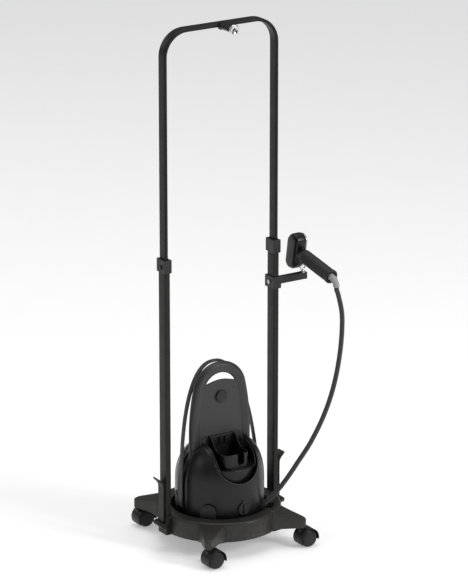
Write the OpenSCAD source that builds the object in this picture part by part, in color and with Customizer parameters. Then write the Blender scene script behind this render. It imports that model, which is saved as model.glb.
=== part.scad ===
// Garment steamer on a wheeled stand, with a telescoping hanging frame.
// Millimetres. +Z up, front is -Y, floor at z = 0, tray axis at x = y = 0.

/* [Hanging frame] */
// Height of the top bar above the floor
frame_h = 1415; // [1300:5:1500]
// Distance from the middle plane to each upper tube
tube_x = 169; // [168.5:0.5:169.5]
// Thickness of the flat tube
tube_w = 9; // [8:0.5:9]
// Depth of the flat tube, front to back
tube_d = 30; // [26:1:30]
// Outer radius of the two top corners
corner_r = 70; // [50:5:90]
// Height at which each upper tube ends inside its sleeve
tube_z0 = 350; // [340:5:380]
// Height of the top of the lower sleeves
sleeve_top = 800; // [780:5:800]
// Length of the hanger peg in front of the top bar
peg_len = 62; // [40:1:80]

/* [Base] */
// Outer radius of the round tray
tray_r = 165; // [164:0.5:166]
// Height of the tray rim
tray_top = 100; // [98:0.5:101]
// Radius of the opening the steamer stands in
tray_open_r = 130; // [129:0.5:131]
// Caster axis, sideways
caster_x = 145; // [140:1:150]
// Caster axis, front to back
caster_y = 177.5; // [174:0.5:182]
// Caster wheel radius
wheel_r = 24.5; // [23:0.5:24.5]
// Rest angle of the casters' trail about the vertical
caster_turn = 0; // [-30:5:30]

/* [Steamer] */
// Radius of the steamer body
body_r = 119.6; // [119:0.1:120]
// Height of the top of the steamer body
body_top = 289; // [288:0.5:290]
// Half width of the back plate at its rim tube centre
plate_half = 81.5; // [80:0.5:82]
// Height of the rim tube centre at the top of the back plate
plate_top = 484; // [470:1:495]
// Top of the tank hoop
hoop_top = 494; // [488:1:500]

/* [Handset] */
// Sideways position of the handset axis
hand_x = 262; // [258:1:268]
// Grip radius
grip_r = 18.5; // [17:0.5:19]
// Grip length
grip_len = 126; // [120:1:126]
// Downward tilt of the grip, degrees
hand_tilt = 10; // [8:1:12]
// Hose radius
hose_r = 6.5; // [6:0.25:7]

/* [Hidden] */
$fn = 48;

// flat tube, sleeves and collars
tube_wall = 1.5;
slide_gap = 0.3;
sleeve_x0 = 160;
sleeve_x1 = 176;
sleeve_d = 34;
sleeve_z0 = 58;
collar_h = 36;
collar_lip = 8;
collar_wall = 3.2;
button_r = 6;
button_gap = 0.06;
button_z = sleeve_top - 14;
bar_z = frame_h - tube_w/2;
peg_r = 9.5;
peg_bore_r = 7.4;
cap_r = 14;
cap_len = 7;
cap_bore_r = 4.6;

// foot brackets and latch levers
block_x0 = 156;
block_x1 = 178.5;
block_y = 21;
block_z0 = 46;
block_z1 = 98;
barrel_x = 186;
barrel_z = 74;
barrel_r = 7;
barrel_y = 24;
knuckle_y = 13.7;
lug_y = 14;
hinge_r = 2.5;
hinge_gap = 0.05;
strap_x0 = 179.5;
strap_x1 = 183;
strap_y = 13;
latch_z = 160;
latch_r = 4;

// tray and arms
tray_z0 = 47;
tray_wall = 4;
floor_z = 62;
floor_t = 4;
rim_round = 6;
arm_angle = atan(caster_y/caster_x);
arm_r = sqrt(caster_x*caster_x + caster_y*caster_y);
arm_tip_r = 11;
arm_root_half = 34;
arm_z_tip = 84;
arm_z_root = 95;
arm_under = 55;
stem_r = 4;
stem_top = 78;
stem_gap = 0.06;

// casters
trail = 16;
web_half = 7;
wheel_in = 7.5;
wheel_out = 21.5;
fender_gap = 1.8;
fender_t = 1.8;
fender_half = 21;
fender_angle = 225;
fender_start = 12;
axle_r = 3;
boss_top = 53;

// steamer body
body_z0 = 76;
waist_z = 166;
tank_bulge = 0.46;
front_bulge = 0.3;
body_wall = 3;
shoulder_y = -18;
shell_top = 292;
band_inset = 5;
split_y = 12.8;
tank_y = 13.5;
cut_half = 66;
cut_z = 245;
cut_drop = 58;
ledge_z = 222;
drum_r = 104;
cup_half = 39;
cup_front = 89;
cup_corner = 24;
cup_corner_r = 14;
cup_back = 8.5;
cup_clear = 0.3;
notch_x = 12;
notch_z = 241;
notch_r = 10;
cup_wall = 3;
rim_r = 12;
rim_y = 0;
plate_z0 = 245;
arch_z = 300;
arch_side_r = 600;
plate_y0 = -7.5;
plate_t = 6;
grip_edge_z = 440;
screw_r = 2.4;
plate_screw_at = [[40, 421], [-40, 421], [55, 290], [-55, 290]];
badge_z = 401;
hoop_t = 4;
hoop_y0 = -5;
hoop_w = 15;
hoop_z0 = 110;
hoop_lean = 5;
hoop_bend_z = 215;
foot_top = 150;
foot_y1 = 22;
gland_r = 10;
gland_len = 28;
inlet_az = 150;
inlet_r = 4.4;
plug_z = 118;
plug_r = 17.5;
pedal_az = -46;
pedal_half = 22;
pedal_z = 114;
cap_y = 50;
cap_knob_r = 24;
neck_r = 17;
seat_r = 12;

// handset, in its own tilted frame with the grip along -Y
hand_y = -6;
hand_z = 745;
ring_len = 7;
neck_len = 14;
head_half_z = 50;
head_r = 22;
head_x0 = -18;
head_x1 = 14;
boot_r = 7.5;
boot_bend_r = 25;
boot_turn = 72;
boot_ribs = 5;
holder_z = 690;

// hose route, from the steamer to the boot on the handset
hose_start = [84, -92, 108];
hose_dir = [0.66, -0.34, 0.67];
boot_y = -(grip_len + ring_len + 4);
boot_end_y = boot_y - boot_bend_r*sin(boot_turn);
boot_end_z = -boot_bend_r*(1 - cos(boot_turn));
hose_end = [hand_x,
            hand_y + boot_end_y*cos(hand_tilt) - boot_end_z*sin(hand_tilt),
            hand_z + boot_end_y*sin(hand_tilt) + boot_end_z*cos(hand_tilt)];
end_dir = [0, -cos(hand_tilt + boot_turn), -sin(hand_tilt + boot_turn)];
route = [
    hose_start, hose_start + 12*hose_dir/norm(hose_dir),
    [104, -101, 127], [124, -109, 152], [144, -117, 181], [166, -125, 216],
    [198, -138, 270], [228, -149, 334], [249, -157, 396], [263, -162, 456],
    [272, -166, 520], [276, -168, 580], [275, -168, 630],
    hose_end + 22*end_dir + [4, 0, 0], hose_end + 8*end_dir, hose_end
];
hose_sides = 12;
hose_steps = 5;

// ---------------------------------------------------------------- helpers

// side of the steamer body: radius and height, from the widest part to the top
// bulge 0.46 gives the tank's round shoulder, a smaller value a squarer one
function body_at(t, bulge, top) =
    [body_r*pow(1 - pow(t, 2.3), bulge), waist_z + (top - waist_z)*t];

function body_side(inset, n, bulge, top) = [
    for (i = [0 : n])
        let (t = 1 - pow(1 - i/n, 2), p = body_at(t, bulge, top))
        [max(p[0] - inset, 0), p[1] - inset*pow(t, 4)]
];

// half outline of the body, turned about Z
module body_turned(inset, z0, bulge, top) {
    rotate_extrude($fn = 96)
        polygon(concat([[0, z0], [body_r - inset, z0]], body_side(inset, 22, bulge, top)));
}

module body_solid(inset, z0) {
    body_turned(inset, z0, tank_bulge, body_top);
}

module front_solid(inset, z0) {
    body_turned(inset, z0, front_bulge, shell_top);
}

module upto(y0, y1) {
    translate([-200, y0, 0]) cube([400, y1 - y0, 600]);
}

module both(x) {
    translate([x, 0, 0]) children();
    translate([-x, 0, 0]) children();
}

module slot_bar(x0, x1, half_y, z0, z1) {
    translate([x0, -half_y, z0]) cube([x1 - x0, 2*half_y, z1 - z0]);
}

module along_y(y0, y1, r) {
    translate([0, y1, 0]) rotate([90, 0, 0]) cylinder(r = r, h = y1 - y0);
}

module along_x(x0, x1, r) {
    translate([x0, 0, 0]) rotate([0, 90, 0]) cylinder(r = r, h = x1 - x0);
}

module right_or_left(side) {
    if (side > 0) children();
    else mirror([1, 0, 0]) children();
}

module hand_frame() {
    translate([hand_x, hand_y, hand_z]) rotate([hand_tilt, 0, 0]) children();
}

module at_azimuth(az) {
    rotate([0, 0, az]) children();
}

// ---------------------------------------------------------------- base

module tray_ring() {
    rotate_extrude($fn = 96) polygon([
        [0, floor_z - floor_t], [tray_open_r + tray_wall, floor_z - floor_t],
        [tray_open_r + tray_wall, tray_top - tray_wall],
        [tray_r - tray_wall, tray_top - tray_wall],
        [tray_r - tray_wall, tray_z0], [tray_r, tray_z0],
        [tray_r, tray_top - rim_round],
        [tray_r - rim_round*(1 - cos(30)), tray_top - rim_round*(1 - sin(30))],
        [tray_r - rim_round*(1 - cos(60)), tray_top - rim_round*(1 - sin(60))],
        [tray_r - rim_round, tray_top], [tray_open_r + 2, tray_top],
        [tray_open_r, tray_top - 2], [tray_open_r, floor_z], [0, floor_z]
    ]);
}

module tray_arm(angle) {
    rotate([0, 0, angle]) difference() {
        intersection() {
            translate([0, 0, tray_z0]) linear_extrude(arm_z_root - tray_z0) {
                polygon([[tray_r - tray_wall, arm_root_half], [tray_r, arm_root_half],
                         [arm_r, arm_tip_r], [arm_r, -arm_tip_r],
                         [tray_r, -arm_root_half], [tray_r - tray_wall, -arm_root_half]]);
                translate([arm_r + 2, 0]) circle(r = arm_tip_r);
            }
            translate([0, 60, 0]) rotate([90, 0, 0]) linear_extrude(120) polygon([
                [150, tray_z0], [178, tray_z0], [194, arm_under], [260, arm_under],
                [260, arm_z_tip - 4], [arm_r, arm_z_tip], [150, arm_z_root]
            ]);
        }
        translate([arm_r, 0, 40]) cylinder(r = stem_r + stem_gap, h = stem_top + 1 - 40);
        cylinder(r = tray_r - tray_wall, h = 200, $fn = 96);
    }
}

module base_tray() {
    color("DimGray") difference() {
        union() {
            tray_ring();
            for (a = [arm_angle, 180 - arm_angle, 180 + arm_angle, -arm_angle]) tray_arm(a);
        }
        // pockets for the two foot brackets
        for (s = [0, 1]) mirror([s, 0, 0])
            translate([block_x0, -block_y, 0]) cube([200 - block_x0, 2*block_y, 200]);
        // relief under the hose
        rotate([0, 0, 46]) translate([-17, -147, tray_top - 26])
            cube([34, 22, 40]);
    }
}

module post_bracket(side) {
    right_or_left(side) difference() {
        union() {
            slot_bar(block_x0, block_x1, block_y, block_z0, block_z1);
            for (s = [0, 1]) mirror([0, s, 0]) {
                translate([170, lug_y, barrel_z - barrel_r])
                    cube([barrel_x - 170, barrel_y - lug_y, 2*barrel_r]);
                translate([barrel_x, 0, barrel_z]) along_y(lug_y, barrel_y, barrel_r);
            }
        }
        slot_bar(sleeve_x0, sleeve_x1, sleeve_d/2, sleeve_z0, 200);
        translate([barrel_x, 0, barrel_z]) along_y(-40, 40, hinge_r);
    }
}

module post_bracket_l() { color("DimGray") post_bracket(-1); }
module post_bracket_r() { color("DimGray") post_bracket(1); }

module hinge_pin(side) {
    right_or_left(side) translate([barrel_x, 0, barrel_z]) {
        along_y(-barrel_y, barrel_y, hinge_r);
        along_y(-barrel_y - 2, -barrel_y, 5);
        along_y(barrel_y, barrel_y + 2, 5);
    }
}

module hinge_pin_l() { color("Silver") hinge_pin(-1); }
module hinge_pin_r() { color("Silver") hinge_pin(1); }

module latch_lever(side) {
    right_or_left(side) {
        difference() {
            union() {
                translate([barrel_x, 0, barrel_z]) along_y(-knuckle_y, knuckle_y, barrel_r);
                translate([0, strap_y, 0]) rotate([90, 0, 0]) linear_extrude(2*strap_y)
                    polygon([[strap_x0, barrel_z], [strap_x1, barrel_z], [strap_x1, 178],
                             [strap_x1 + 1.5, 186], [strap_x1 + 6, 193], [strap_x1 + 14, 201],
                             [strap_x1 + 16, 205], [strap_x1 + 14, 207], [strap_x1 + 10, 204],
                             [strap_x1 + 2, 197], [strap_x0 + 0.6, 190], [strap_x0, 180]]);
            }
            translate([barrel_x, 0, barrel_z]) along_y(-20, 20, hinge_r + hinge_gap);
        }
        translate([0, 0, latch_z]) along_x(sleeve_x1 - 1, strap_x0, latch_r);
    }
}

module latch_lever_l() { color("Gray") latch_lever(-1); }
module latch_lever_r() { color("Gray") latch_lever(1); }

// ---------------------------------------------------------------- posts

module tube_bore(grow) {
    slot_bar(tube_x - tube_w/2 - grow, tube_x + tube_w/2 + grow, tube_d/2 + grow, 0, 900);
}

module sleeve(side) {
    right_or_left(side) difference() {
        slot_bar(sleeve_x0, sleeve_x1, sleeve_d/2, sleeve_z0, sleeve_top);
        translate([0, 0, sleeve_z0 + 6]) tube_bore(slide_gap);
        translate([0, 0, latch_z]) along_x(tube_x, 190, latch_r + 1);
    }
}

module sleeve_l() { color("DimGray") sleeve(-1); }
module sleeve_r() { color("DimGray") sleeve(1); }

module sleeve_collar(side) {
    w = collar_wall;
    right_or_left(side) difference() {
        slot_bar(sleeve_x0 - w, sleeve_x1 + w, sleeve_d/2 + w,
                 sleeve_top - collar_h + collar_lip, sleeve_top + collar_lip);
        slot_bar(sleeve_x0, sleeve_x1, sleeve_d/2, 600, sleeve_top);
        tube_bore(slide_gap);
        translate([0, 0, button_z]) along_x(sleeve_x1, 190, button_r + button_gap);
    }
}

module sleeve_collar_l() { color("Black") sleeve_collar(-1); }
module sleeve_collar_r() { color("Black") sleeve_collar(1); }

module lock_button(side) {
    right_or_left(side) translate([0, 0, button_z])
        along_x(sleeve_x1 + 2.2, sleeve_x1 + collar_wall + 3, button_r);
}

module lock_button_l() { color("Gray") lock_button(-1); }
module lock_button_r() { color("Gray") lock_button(1); }

module u_section(inset) {
    translate([-tube_w/2 + inset, -tube_d/2 + inset])
        square([tube_w - 2*inset, tube_d - 2*inset]);
}

module u_path(inset, z0) {
    bend_x = tube_x + tube_w/2 - corner_r;
    bend_z = frame_h - corner_r;
    mid_r = corner_r - tube_w/2;
    both(tube_x) translate([0, 0, z0]) linear_extrude(bend_z - z0) u_section(inset);
    for (s = [0, 1]) mirror([s, 0, 0])
        translate([bend_x, 0, bend_z]) rotate([90, 0, 0])
            rotate_extrude(angle = 90, $fn = 72) translate([mid_r, 0]) u_section(inset);
    translate([-bend_x, 0, bar_z]) rotate([0, 90, 0]) linear_extrude(2*bend_x)
        u_section(inset);
}

module rail_frame() {
    color("Black") difference() {
        u_path(0, tube_z0);
        u_path(tube_wall, tube_z0 - 1);
    }
}

module rail_glides() {
    color("DarkSlateGray") both(tube_x) translate([0, 0, tube_z0 - 4]) {
        translate([-tube_w/2, -tube_d/2, 0]) cube([tube_w, tube_d, 4]);
        translate([-tube_w/2 + tube_wall, -tube_d/2 + tube_wall, 4])
            cube([tube_w - 2*tube_wall, tube_d - 2*tube_wall, 16]);
    }
}

module hanger_peg() {
    color("DimGray") translate([0, 0, bar_z]) difference() {
        along_y(-tube_d/2 - peg_len + cap_len, -tube_d/2, peg_r);
        along_y(-200, -tube_d/2 - 3, peg_bore_r);
    }
}

module peg_cap() {
    y1 = -tube_d/2 - peg_len + cap_len;
    color("Silver") translate([0, 0, bar_z]) difference() {
        union() {
            along_y(y1 - cap_len, y1, cap_r);
            along_y(y1, y1 + 12, peg_bore_r);
        }
        along_y(y1 - cap_len - 1, y1 + 6, cap_bore_r);
    }
}

// ---------------------------------------------------------------- casters

module caster_place(n) {
    sx = (n == 1 || n == 3) ? -1 : 1;
    sy = n <= 2 ? -1 : 1;
    translate([sx*caster_x, sy*caster_y, 0]) rotate([0, 0, caster_turn]) children();
}

module fender_arc() {
    r0 = wheel_r + fender_gap;
    rotate([90, 0, 0]) translate([0, 0, -fender_half])
        rotate_extrude(angle = fender_angle, $fn = 72)
            translate([r0, 0]) square([fender_t, 2*fender_half]);
}

module caster_fork(n) {
    r0 = wheel_r + fender_gap;
    caster_place(n) difference() {
        union() {
            translate([trail, 0, wheel_r]) {
                rotate([0, fender_start, 0]) fender_arc();
                along_y(-web_half, web_half, 18);
                intersection() {
                    along_y(-web_half, web_half, r0 + fender_t/2);
                    translate([-60, -30, 4]) cube([120, 60, 60]);
                }
            }
            translate([0, 0, wheel_r]) cylinder(r = web_half, h = boss_top - wheel_r);
            translate([0, 0, boss_top]) cylinder(r = 6.2, h = arm_under - 0.2 - boss_top);
            translate([0, 0, boss_top]) cylinder(r = stem_r, h = stem_top - boss_top);
        }
        translate([trail, 0, wheel_r]) along_y(-30, 30, axle_r + hinge_gap);
    }
}

module caster_wheels(n) {
    caster_place(n) translate([trail, 0, wheel_r])
        for (s = [0, 1]) mirror([0, s, 0]) rotate([-90, 0, 0])
            rotate_extrude($fn = 72) polygon([
                [axle_r, wheel_in], [wheel_r - 7, wheel_in], [wheel_r - 6.5, wheel_in + 1],
                [wheel_r - 1, wheel_in + 1], [wheel_r, wheel_in + 2],
                [wheel_r, wheel_out - 6], [wheel_r - 1.2, wheel_out - 3.4],
                [wheel_r - 4.5, wheel_out - 1.6], [wheel_r - 10, wheel_out - 0.5],
                [0, wheel_out], [0, wheel_out - 4], [axle_r, wheel_out - 4]
            ]);
}

module caster_axle(n) {
    caster_place(n) translate([trail, 0, wheel_r])
        along_y(-(wheel_out - 4), wheel_out - 4, axle_r);
}

module caster_fork_1() { color("DimGray") caster_fork(1); }
module caster_fork_2() { color("DimGray") caster_fork(2); }
module caster_fork_3() { color("DimGray") caster_fork(3); }
module caster_fork_4() { color("DimGray") caster_fork(4); }
module caster_wheels_1() { color("Gray") caster_wheels(1); }
module caster_wheels_2() { color("Gray") caster_wheels(2); }
module caster_wheels_3() { color("Gray") caster_wheels(3); }
module caster_wheels_4() { color("Gray") caster_wheels(4); }
module caster_axle_1() { color("Silver") caster_axle(1); }
module caster_axle_2() { color("Silver") caster_axle(2); }
module caster_axle_3() { color("Silver") caster_axle(3); }
module caster_axle_4() { color("Silver") caster_axle(4); }

// ---------------------------------------------------------------- steamer

module unit_feet() {
    color("Black") for (a = [45 : 90 : 315]) rotate([0, 0, a])
        translate([92, 0, floor_z]) cylinder(r = 10, h = 3);
}

module unit_base() {
    color("Black") difference() {
        rotate_extrude($fn = 96) polygon([
            [0, floor_z + 3], [body_r - 8, floor_z + 3], [body_r - 2, floor_z + 6],
            [body_r, floor_z + 10], [body_r, body_z0], [0, body_z0]
        ]);
        // well for the tank valve
        translate([0, 60, body_z0 - 6]) cylinder(r = seat_r, h = 20);
        inlet_body(20);
    }
}

module plate_negative() {
    both(plate_half) translate([-rim_r, rim_y - rim_r, plate_z0])
        cube([2*rim_r, 2*rim_r, 100]);
    translate([-plate_half, plate_y0, plate_z0]) cube([2*plate_half, plate_t, 100]);
}

module front_cut(grow) {
    translate([0, -12, cut_z]) rotate([90, 0, 0]) linear_extrude(200) {
        oval(cut_half + grow, cut_drop + grow);
        translate([-cut_half - grow, 0]) square([2*(cut_half + grow), 120]);
    }
}

// oval outline as one polygon
module oval(rx, rz) {
    polygon([for (a = [0 : 7.5 : 352.5]) [rx*cos(a), rz*sin(a)]]);
}

module unit_shell() {
    color("Black") difference() {
        union() {
            intersection() {
                front_solid(0, body_z0);
                upto(-200, shoulder_y);
            }
            // recessed band that the tank hoop lies in
            intersection() {
                body_solid(band_inset, body_z0);
                upto(shoulder_y - 1, split_y);
            }
        }
        intersection() {
            front_solid(body_wall, body_z0 - 1);
            upto(-200, shoulder_y - body_wall);
        }
        intersection() {
            body_solid(band_inset + body_wall, body_z0 - 1);
            upto(shoulder_y - body_wall - 1, split_y - body_wall);
        }
        front_cut(0);
        plate_negative();
        cup_pocket();
        // pedal stem, drain neck and hose gland
        at_azimuth(pedal_az) translate([0, 0, pedal_z]) along_y(-200, -80, 5.06);
        translate([0, 0, plug_z]) along_y(-200, -80, 9.06);
        gland_body();
    }
}

// room for the cup's back wall, open through to the panel behind it
module cup_pocket() {
    x = cup_half + cup_clear;
    translate([-x, -cup_back - 4, ledge_z])
        cube([2*x, cup_back + 4 + plate_y0 + 0.1, 90]);
}

module gland_body() {
    d = hose_dir/norm(hose_dir);
    az = atan2(d[1], d[0]);
    el = acos(d[2]);
    translate(hose_start) rotate([0, el, az]) translate([0, 0, -gland_len])
        cylinder(r = gland_r, h = gland_len);
}

module hose_gland() {
    color("Black") gland_body();
}

function arch_top_r() =
    let (a = arch_side_r - plate_half, h = plate_top - arch_z)
    (arch_side_r*arch_side_r - a*a - h*h)/(2*(arch_side_r - h));

// right half of the arch, moved outwards by a distance
function arch_side(w, n) =
    let (r1 = arch_top_r(), cx = plate_half - arch_side_r, zc = plate_top - r1,
         phi = asin((zc - arch_z)/(arch_side_r - r1)))
    concat([[plate_half + w, plate_z0]],
           [for (i = [0 : 4]) let (a = phi*i/4)
               [cx + (arch_side_r + w)*cos(a), arch_z + (arch_side_r + w)*sin(a)]],
           [for (i = [1 : n - 1]) let (a = phi + (90 - phi)*i/n)
               [(r1 + w)*cos(a), zc + (r1 + w)*sin(a)]],
           [[0, plate_top + w]]);

function reversed(v) = [for (i = [len(v) - 1 : -1 : 0]) v[i]];
function mirrored(v) = [for (p = v) if (p[0] > 0) [-p[0], p[1]]];

module arch_band(half_w, half_d) {
    out = arch_side(half_w, 14);
    inn = arch_side(-half_w, 14);
    translate([0, half_d, 0]) rotate([90, 0, 0]) linear_extrude(2*half_d)
        polygon(concat(out, reversed(mirrored(out)), mirrored(inn), reversed(inn)));
}

// rim in stepped layers, wide in the middle of its depth
module rim_arch() {
    arch_band(rim_r, 0.56*rim_r);
    arch_band(0.84*rim_r, 0.8*rim_r);
    arch_band(0.56*rim_r, rim_r);
}

// half width of the arch centre line at a height
function arch_half(z) =
    let (r1 = arch_top_r(), zc = plate_top - r1,
         phi = asin((zc - arch_z)/(arch_side_r - r1)))
    z <= arch_z ? plate_half :
    z <= arch_z + arch_side_r*sin(phi)
        ? plate_half - arch_side_r + sqrt(pow(arch_side_r, 2) - pow(z - arch_z, 2))
        : sqrt(max(r1*r1 - pow(z - zc, 2), 0));

module plate_panel() {
    top = grip_edge_z;
    half = arch_half(top);
    side = [for (z = [plate_z0, 300, 340, 380, 400, 420, top]) [arch_half(z), z]];
    edge = [for (i = [1 : 11]) let (x = half*(1 - i/6))
            [x, top + 7*cos(x*90/(0.62*half))]];
    other = [for (i = [6 : -1 : 0]) [-side[i][0], side[i][1]]];
    translate([0, plate_y0 + plate_t, 0]) rotate([90, 0, 0]) linear_extrude(plate_t)
        polygon(concat(side, edge, other));
}

module back_plate() {
    color("DimGray") difference() {
        union() {
            translate([0, rim_y, 0]) rim_arch();
            plate_panel();
        }
        for (p = plate_screw_at)
            translate([p[0], 0, p[1]]) along_y(plate_y0 - 1, plate_y0 + 4, screw_r);
        translate([0, 0, badge_z]) along_y(plate_y0 - 1, plate_y0 + 2, 12);
    }
}

module plate_badge() {
    color("Gray") translate([0, 0, badge_z]) rotate([-90, 0, 0])
        rotate_extrude($fn = 60) polygon([
            [0, plate_y0 + 2], [0, plate_y0 - 7], [10, plate_y0 - 6.6],
            [15, plate_y0 - 5.4], [17, plate_y0 - 3.6], [17, plate_y0],
            [12, plate_y0], [12, plate_y0 + 2]
        ]);
}

module plate_screws() {
    color("Black") for (p = plate_screw_at)
        translate([p[0], 0, p[1]]) difference() {
            along_y(plate_y0 + 0.8, plate_y0 + 4, screw_r);
            translate([-0.5, plate_y0, -1.8]) cube([1, 1.8, 3.6]);
        }
}

module cup_plan(inset) {
    h = cup_half - inset;
    f = cup_front - inset;
    c = cup_corner - inset;
    d = cup_corner_r - inset;
    translate([-h, -f + c]) square([2*h, f - c - cup_back]);
    translate([-h + c, -f]) square([2*h - c - d, c + 1]);
    translate([h - d - 1, -f + d]) square([d + 1, c - d + 1]);
    translate([-h + c, -f + c]) circle(r = c);
    translate([h - d, -f + d]) circle(r = d);
}

// cup wall, open at the top, sloping down to the front, with a front notch
module cup_wall_solid() {
    difference() {
        intersection() {
            translate([0, 0, ledge_z]) linear_extrude(80) difference() {
                cup_plan(0);
                difference() {
                    cup_plan(cup_wall);
                    translate([-100, -cup_back - 4]) square([200, 20]);
                }
            }
            rotate([90, 0, 90]) translate([0, 0, -80]) linear_extrude(160) polygon([
                [-200, ledge_z], [0, ledge_z], [0, 294], [-14, 294], [-20, 291], [-27, 284],
                [-34, 276], [-42, 268.5], [-52, 263.5], [-200, 259]
            ]);
        }
        // notch
        translate([notch_x, -70, notch_z]) along_y(-40, 0, notch_r);
        translate([notch_x - notch_r, -120, notch_z]) cube([2*notch_r, 50, 60]);
        // two slots in the back wall
        for (x = [-10, 6]) translate([x - 4.5, -18, 263]) cube([9, 7, 25]);
    }
}

module cup_insert() {
    color("DimGray") {
        difference() {
            union() {
                translate([0, 0, 166]) cylinder(r = drum_r, h = ledge_z - 166, $fn = 96);
                // liner that follows the shell up on both sides
                intersection() {
                    difference() {
                        front_solid(body_wall + 2, body_z0);
                        front_solid(body_wall + 4.5, body_z0 - 1);
                        front_cut(-5);
                    }
                    translate([-200, -200, ledge_z]) cube([400, 178, 100]);
                }
            }
            translate([0, 0, 160]) cylinder(r = drum_r - 3, h = ledge_z - 3 - 160, $fn = 96);
            upto(shoulder_y - body_wall - 1, 200);
        }
        // shelf behind the drum, under the cup
        translate([-64, shoulder_y - body_wall - 1, ledge_z - 3])
            cube([128, body_wall + 1 - shoulder_y - cup_back, 3]);
        cup_wall_solid();
    }
}

module boiler() {
    color("Silver") translate([0, -48, body_z0]) {
        cylinder(r = 44, h = 62);
        translate([0, 0, 62]) cylinder(r = 30, h = 6);
        translate([0, 0, 68]) cylinder(r = 7, h = 10);
    }
}

module tank_seat() {
    color("Gray") translate([0, 60, body_z0 - 6]) difference() {
        cylinder(r = seat_r, h = 8);
        translate([0, 0, 2]) cylinder(r = seat_r - 3, h = 10);
    }
}

module inlet_body(reach) {
    at_azimuth(inlet_az) translate([0, 0, floor_z + 9])
        along_y(-body_r - reach, -body_r + 1, inlet_r);
}

module mains_inlet() {
    color("Black") inlet_body(7);
}

module power_pedal() {
    d = body_r + 2.6;
    color("DimGray") at_azimuth(pedal_az) {
        translate([0, 0, pedal_z]) along_y(-d - 4.5, -d, pedal_half);
        translate([-pedal_half, -d - 4.5, 88]) cube([2*pedal_half, 4.5, pedal_z - 88]);
        translate([0, 0, pedal_z]) along_y(-d, -d + 18, 5);
    }
}

module drain_plug() {
    d = body_r + 0.4;
    color("DimGray") translate([0, 0, plug_z]) {
        along_y(-d - 4, -d, plug_r);
        translate([-1.8, -d - 7, -plug_r + 2]) cube([3.6, 3, 2*plug_r - 2]);
        translate([-5, -d - 4, plug_r - 3]) cube([10, 4, 8]);
        along_y(-d, -d + 16, 9);
    }
}

// ---------------------------------------------------------------- tank

module tank_body() {
    color("SlateGray") difference() {
        intersection() {
            body_solid(0.2, body_z0 + 2.3);
            upto(tank_y, 200);
        }
        intersection() {
            body_solid(3.2, body_z0 + 6);
            upto(tank_y + 3, 200);
        }
        translate([0, cap_y, 200]) cylinder(r = neck_r, h = 200);
        translate([0, 60, 70]) cylinder(r = 7, h = 20);
        // step for the cap to sit on
        translate([0, cap_y, body_top - 12]) cylinder(r = cap_knob_r + 1, h = 30);
        hoop_solid();
    }
    color("SlateGray") translate([0, cap_y, body_top - 16]) difference() {
        cylinder(r = cap_knob_r + 4, h = 4);
        translate([0, 0, -1]) cylinder(r = neck_r, h = 6);
    }
}

// hoop outline: side of the tank at the foot, closing to an arch at the top
function hoop_pt(t, inset) =
    [(body_r + 0.6 - inset)*pow(1 - pow(t, 1.8), 0.42),
     waist_z + (hoop_top - inset - waist_z)*t];

module hoop_strap() {
    n = 26;
    out = [for (i = [0 : n]) hoop_pt(1 - pow(1 - i/n, 2), 0)];
    inn = [for (i = [n : -1 : 0]) hoop_pt(1 - pow(1 - i/n, 2), hoop_t)];
    half = concat([[body_r + 0.6 - hoop_t, hoop_z0], [body_r + 0.6, hoop_z0]], out, inn);
    for (s = [0, 1]) mirror([s, 0, 0])
        translate([0, hoop_y0 + hoop_w, 0]) rotate([90, 0, 0])
            linear_extrude(hoop_w) polygon(half);
}

// upright at the foot, leaning back above the bend, with a foot let into the tank
module hoop_solid() {
    intersection() {
        hoop_strap();
        translate([-200, -100, 0]) cube([400, 200, hoop_bend_z + 0.4]);
    }
    translate([0, 0, hoop_bend_z]) rotate([-hoop_lean, 0, 0]) translate([0, 0, -hoop_bend_z])
        intersection() {
            hoop_strap();
            translate([-200, -100, hoop_bend_z]) cube([400, 200, 400]);
        }
    for (s = [0, 1]) mirror([s, 0, 0])
        translate([body_r + 0.6 - hoop_t, hoop_y0 + hoop_w, hoop_z0])
            cube([hoop_t, foot_y1 - hoop_y0 - hoop_w, foot_top - hoop_z0]);
}

module tank_hoop() {
    color("Black") hoop_solid();
}

module tank_valve() {
    color("Gray") translate([0, 60, body_z0 - 3]) {
        cylinder(r = seat_r - 3.2, h = 5.3);
        translate([0, 0, 5.3]) cylinder(r = 7, h = 10);
    }
}

module tank_cap() {
    color("DimGray") translate([0, cap_y, body_top - 11.8]) {
        difference() {
            cylinder(r = cap_knob_r, h = 11);
            for (a = [0 : 30 : 330]) rotate([0, 0, a])
                translate([cap_knob_r + 1.5, 0, 2]) cylinder(r = 3, h = 20);
        }
        translate([0, 0, 11]) cylinder(r = cap_knob_r - 6, h = 3);
        translate([0, 0, -7]) cylinder(r = neck_r - 0.4, h = 7);
    }
}

// ---------------------------------------------------------------- handset

module holder_arm() {
    w = 4;
    color("DimGray") difference() {
        union() {
            slot_bar(sleeve_x0 - w, sleeve_x1 + w, sleeve_d/2 + w, holder_z - 16, holder_z + 16);
            slot_bar(sleeve_x1 + w, hand_x + 9, 8, holder_z - 9, holder_z + 9);
        }
        slot_bar(sleeve_x0, sleeve_x1, sleeve_d/2, holder_z - 40, holder_z + 40);
        translate([hand_x, 0, holder_z]) cylinder(r = 2.5, h = 20);
        translate([sleeve_x0 - 10, 0, holder_z]) along_x(0, 12, 3);
    }
}

module holder_hook() {
    top = holder_z + 9;
    color("Silver") {
        translate([hand_x, 0, top - 9]) cylinder(r = 2.5, h = 9);
        translate([hand_x, 0, top]) cylinder(r = 8, h = 2.4);
        translate([hand_x, 0, top + 2.4]) cylinder(r = 3, h = 6);
        translate([hand_x, 0, top + 15.4]) rotate([90, 0, 0])
            rotate_extrude($fn = 48) translate([7, 0]) circle(r = 2.4, $fn = 24);
    }
}

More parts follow.
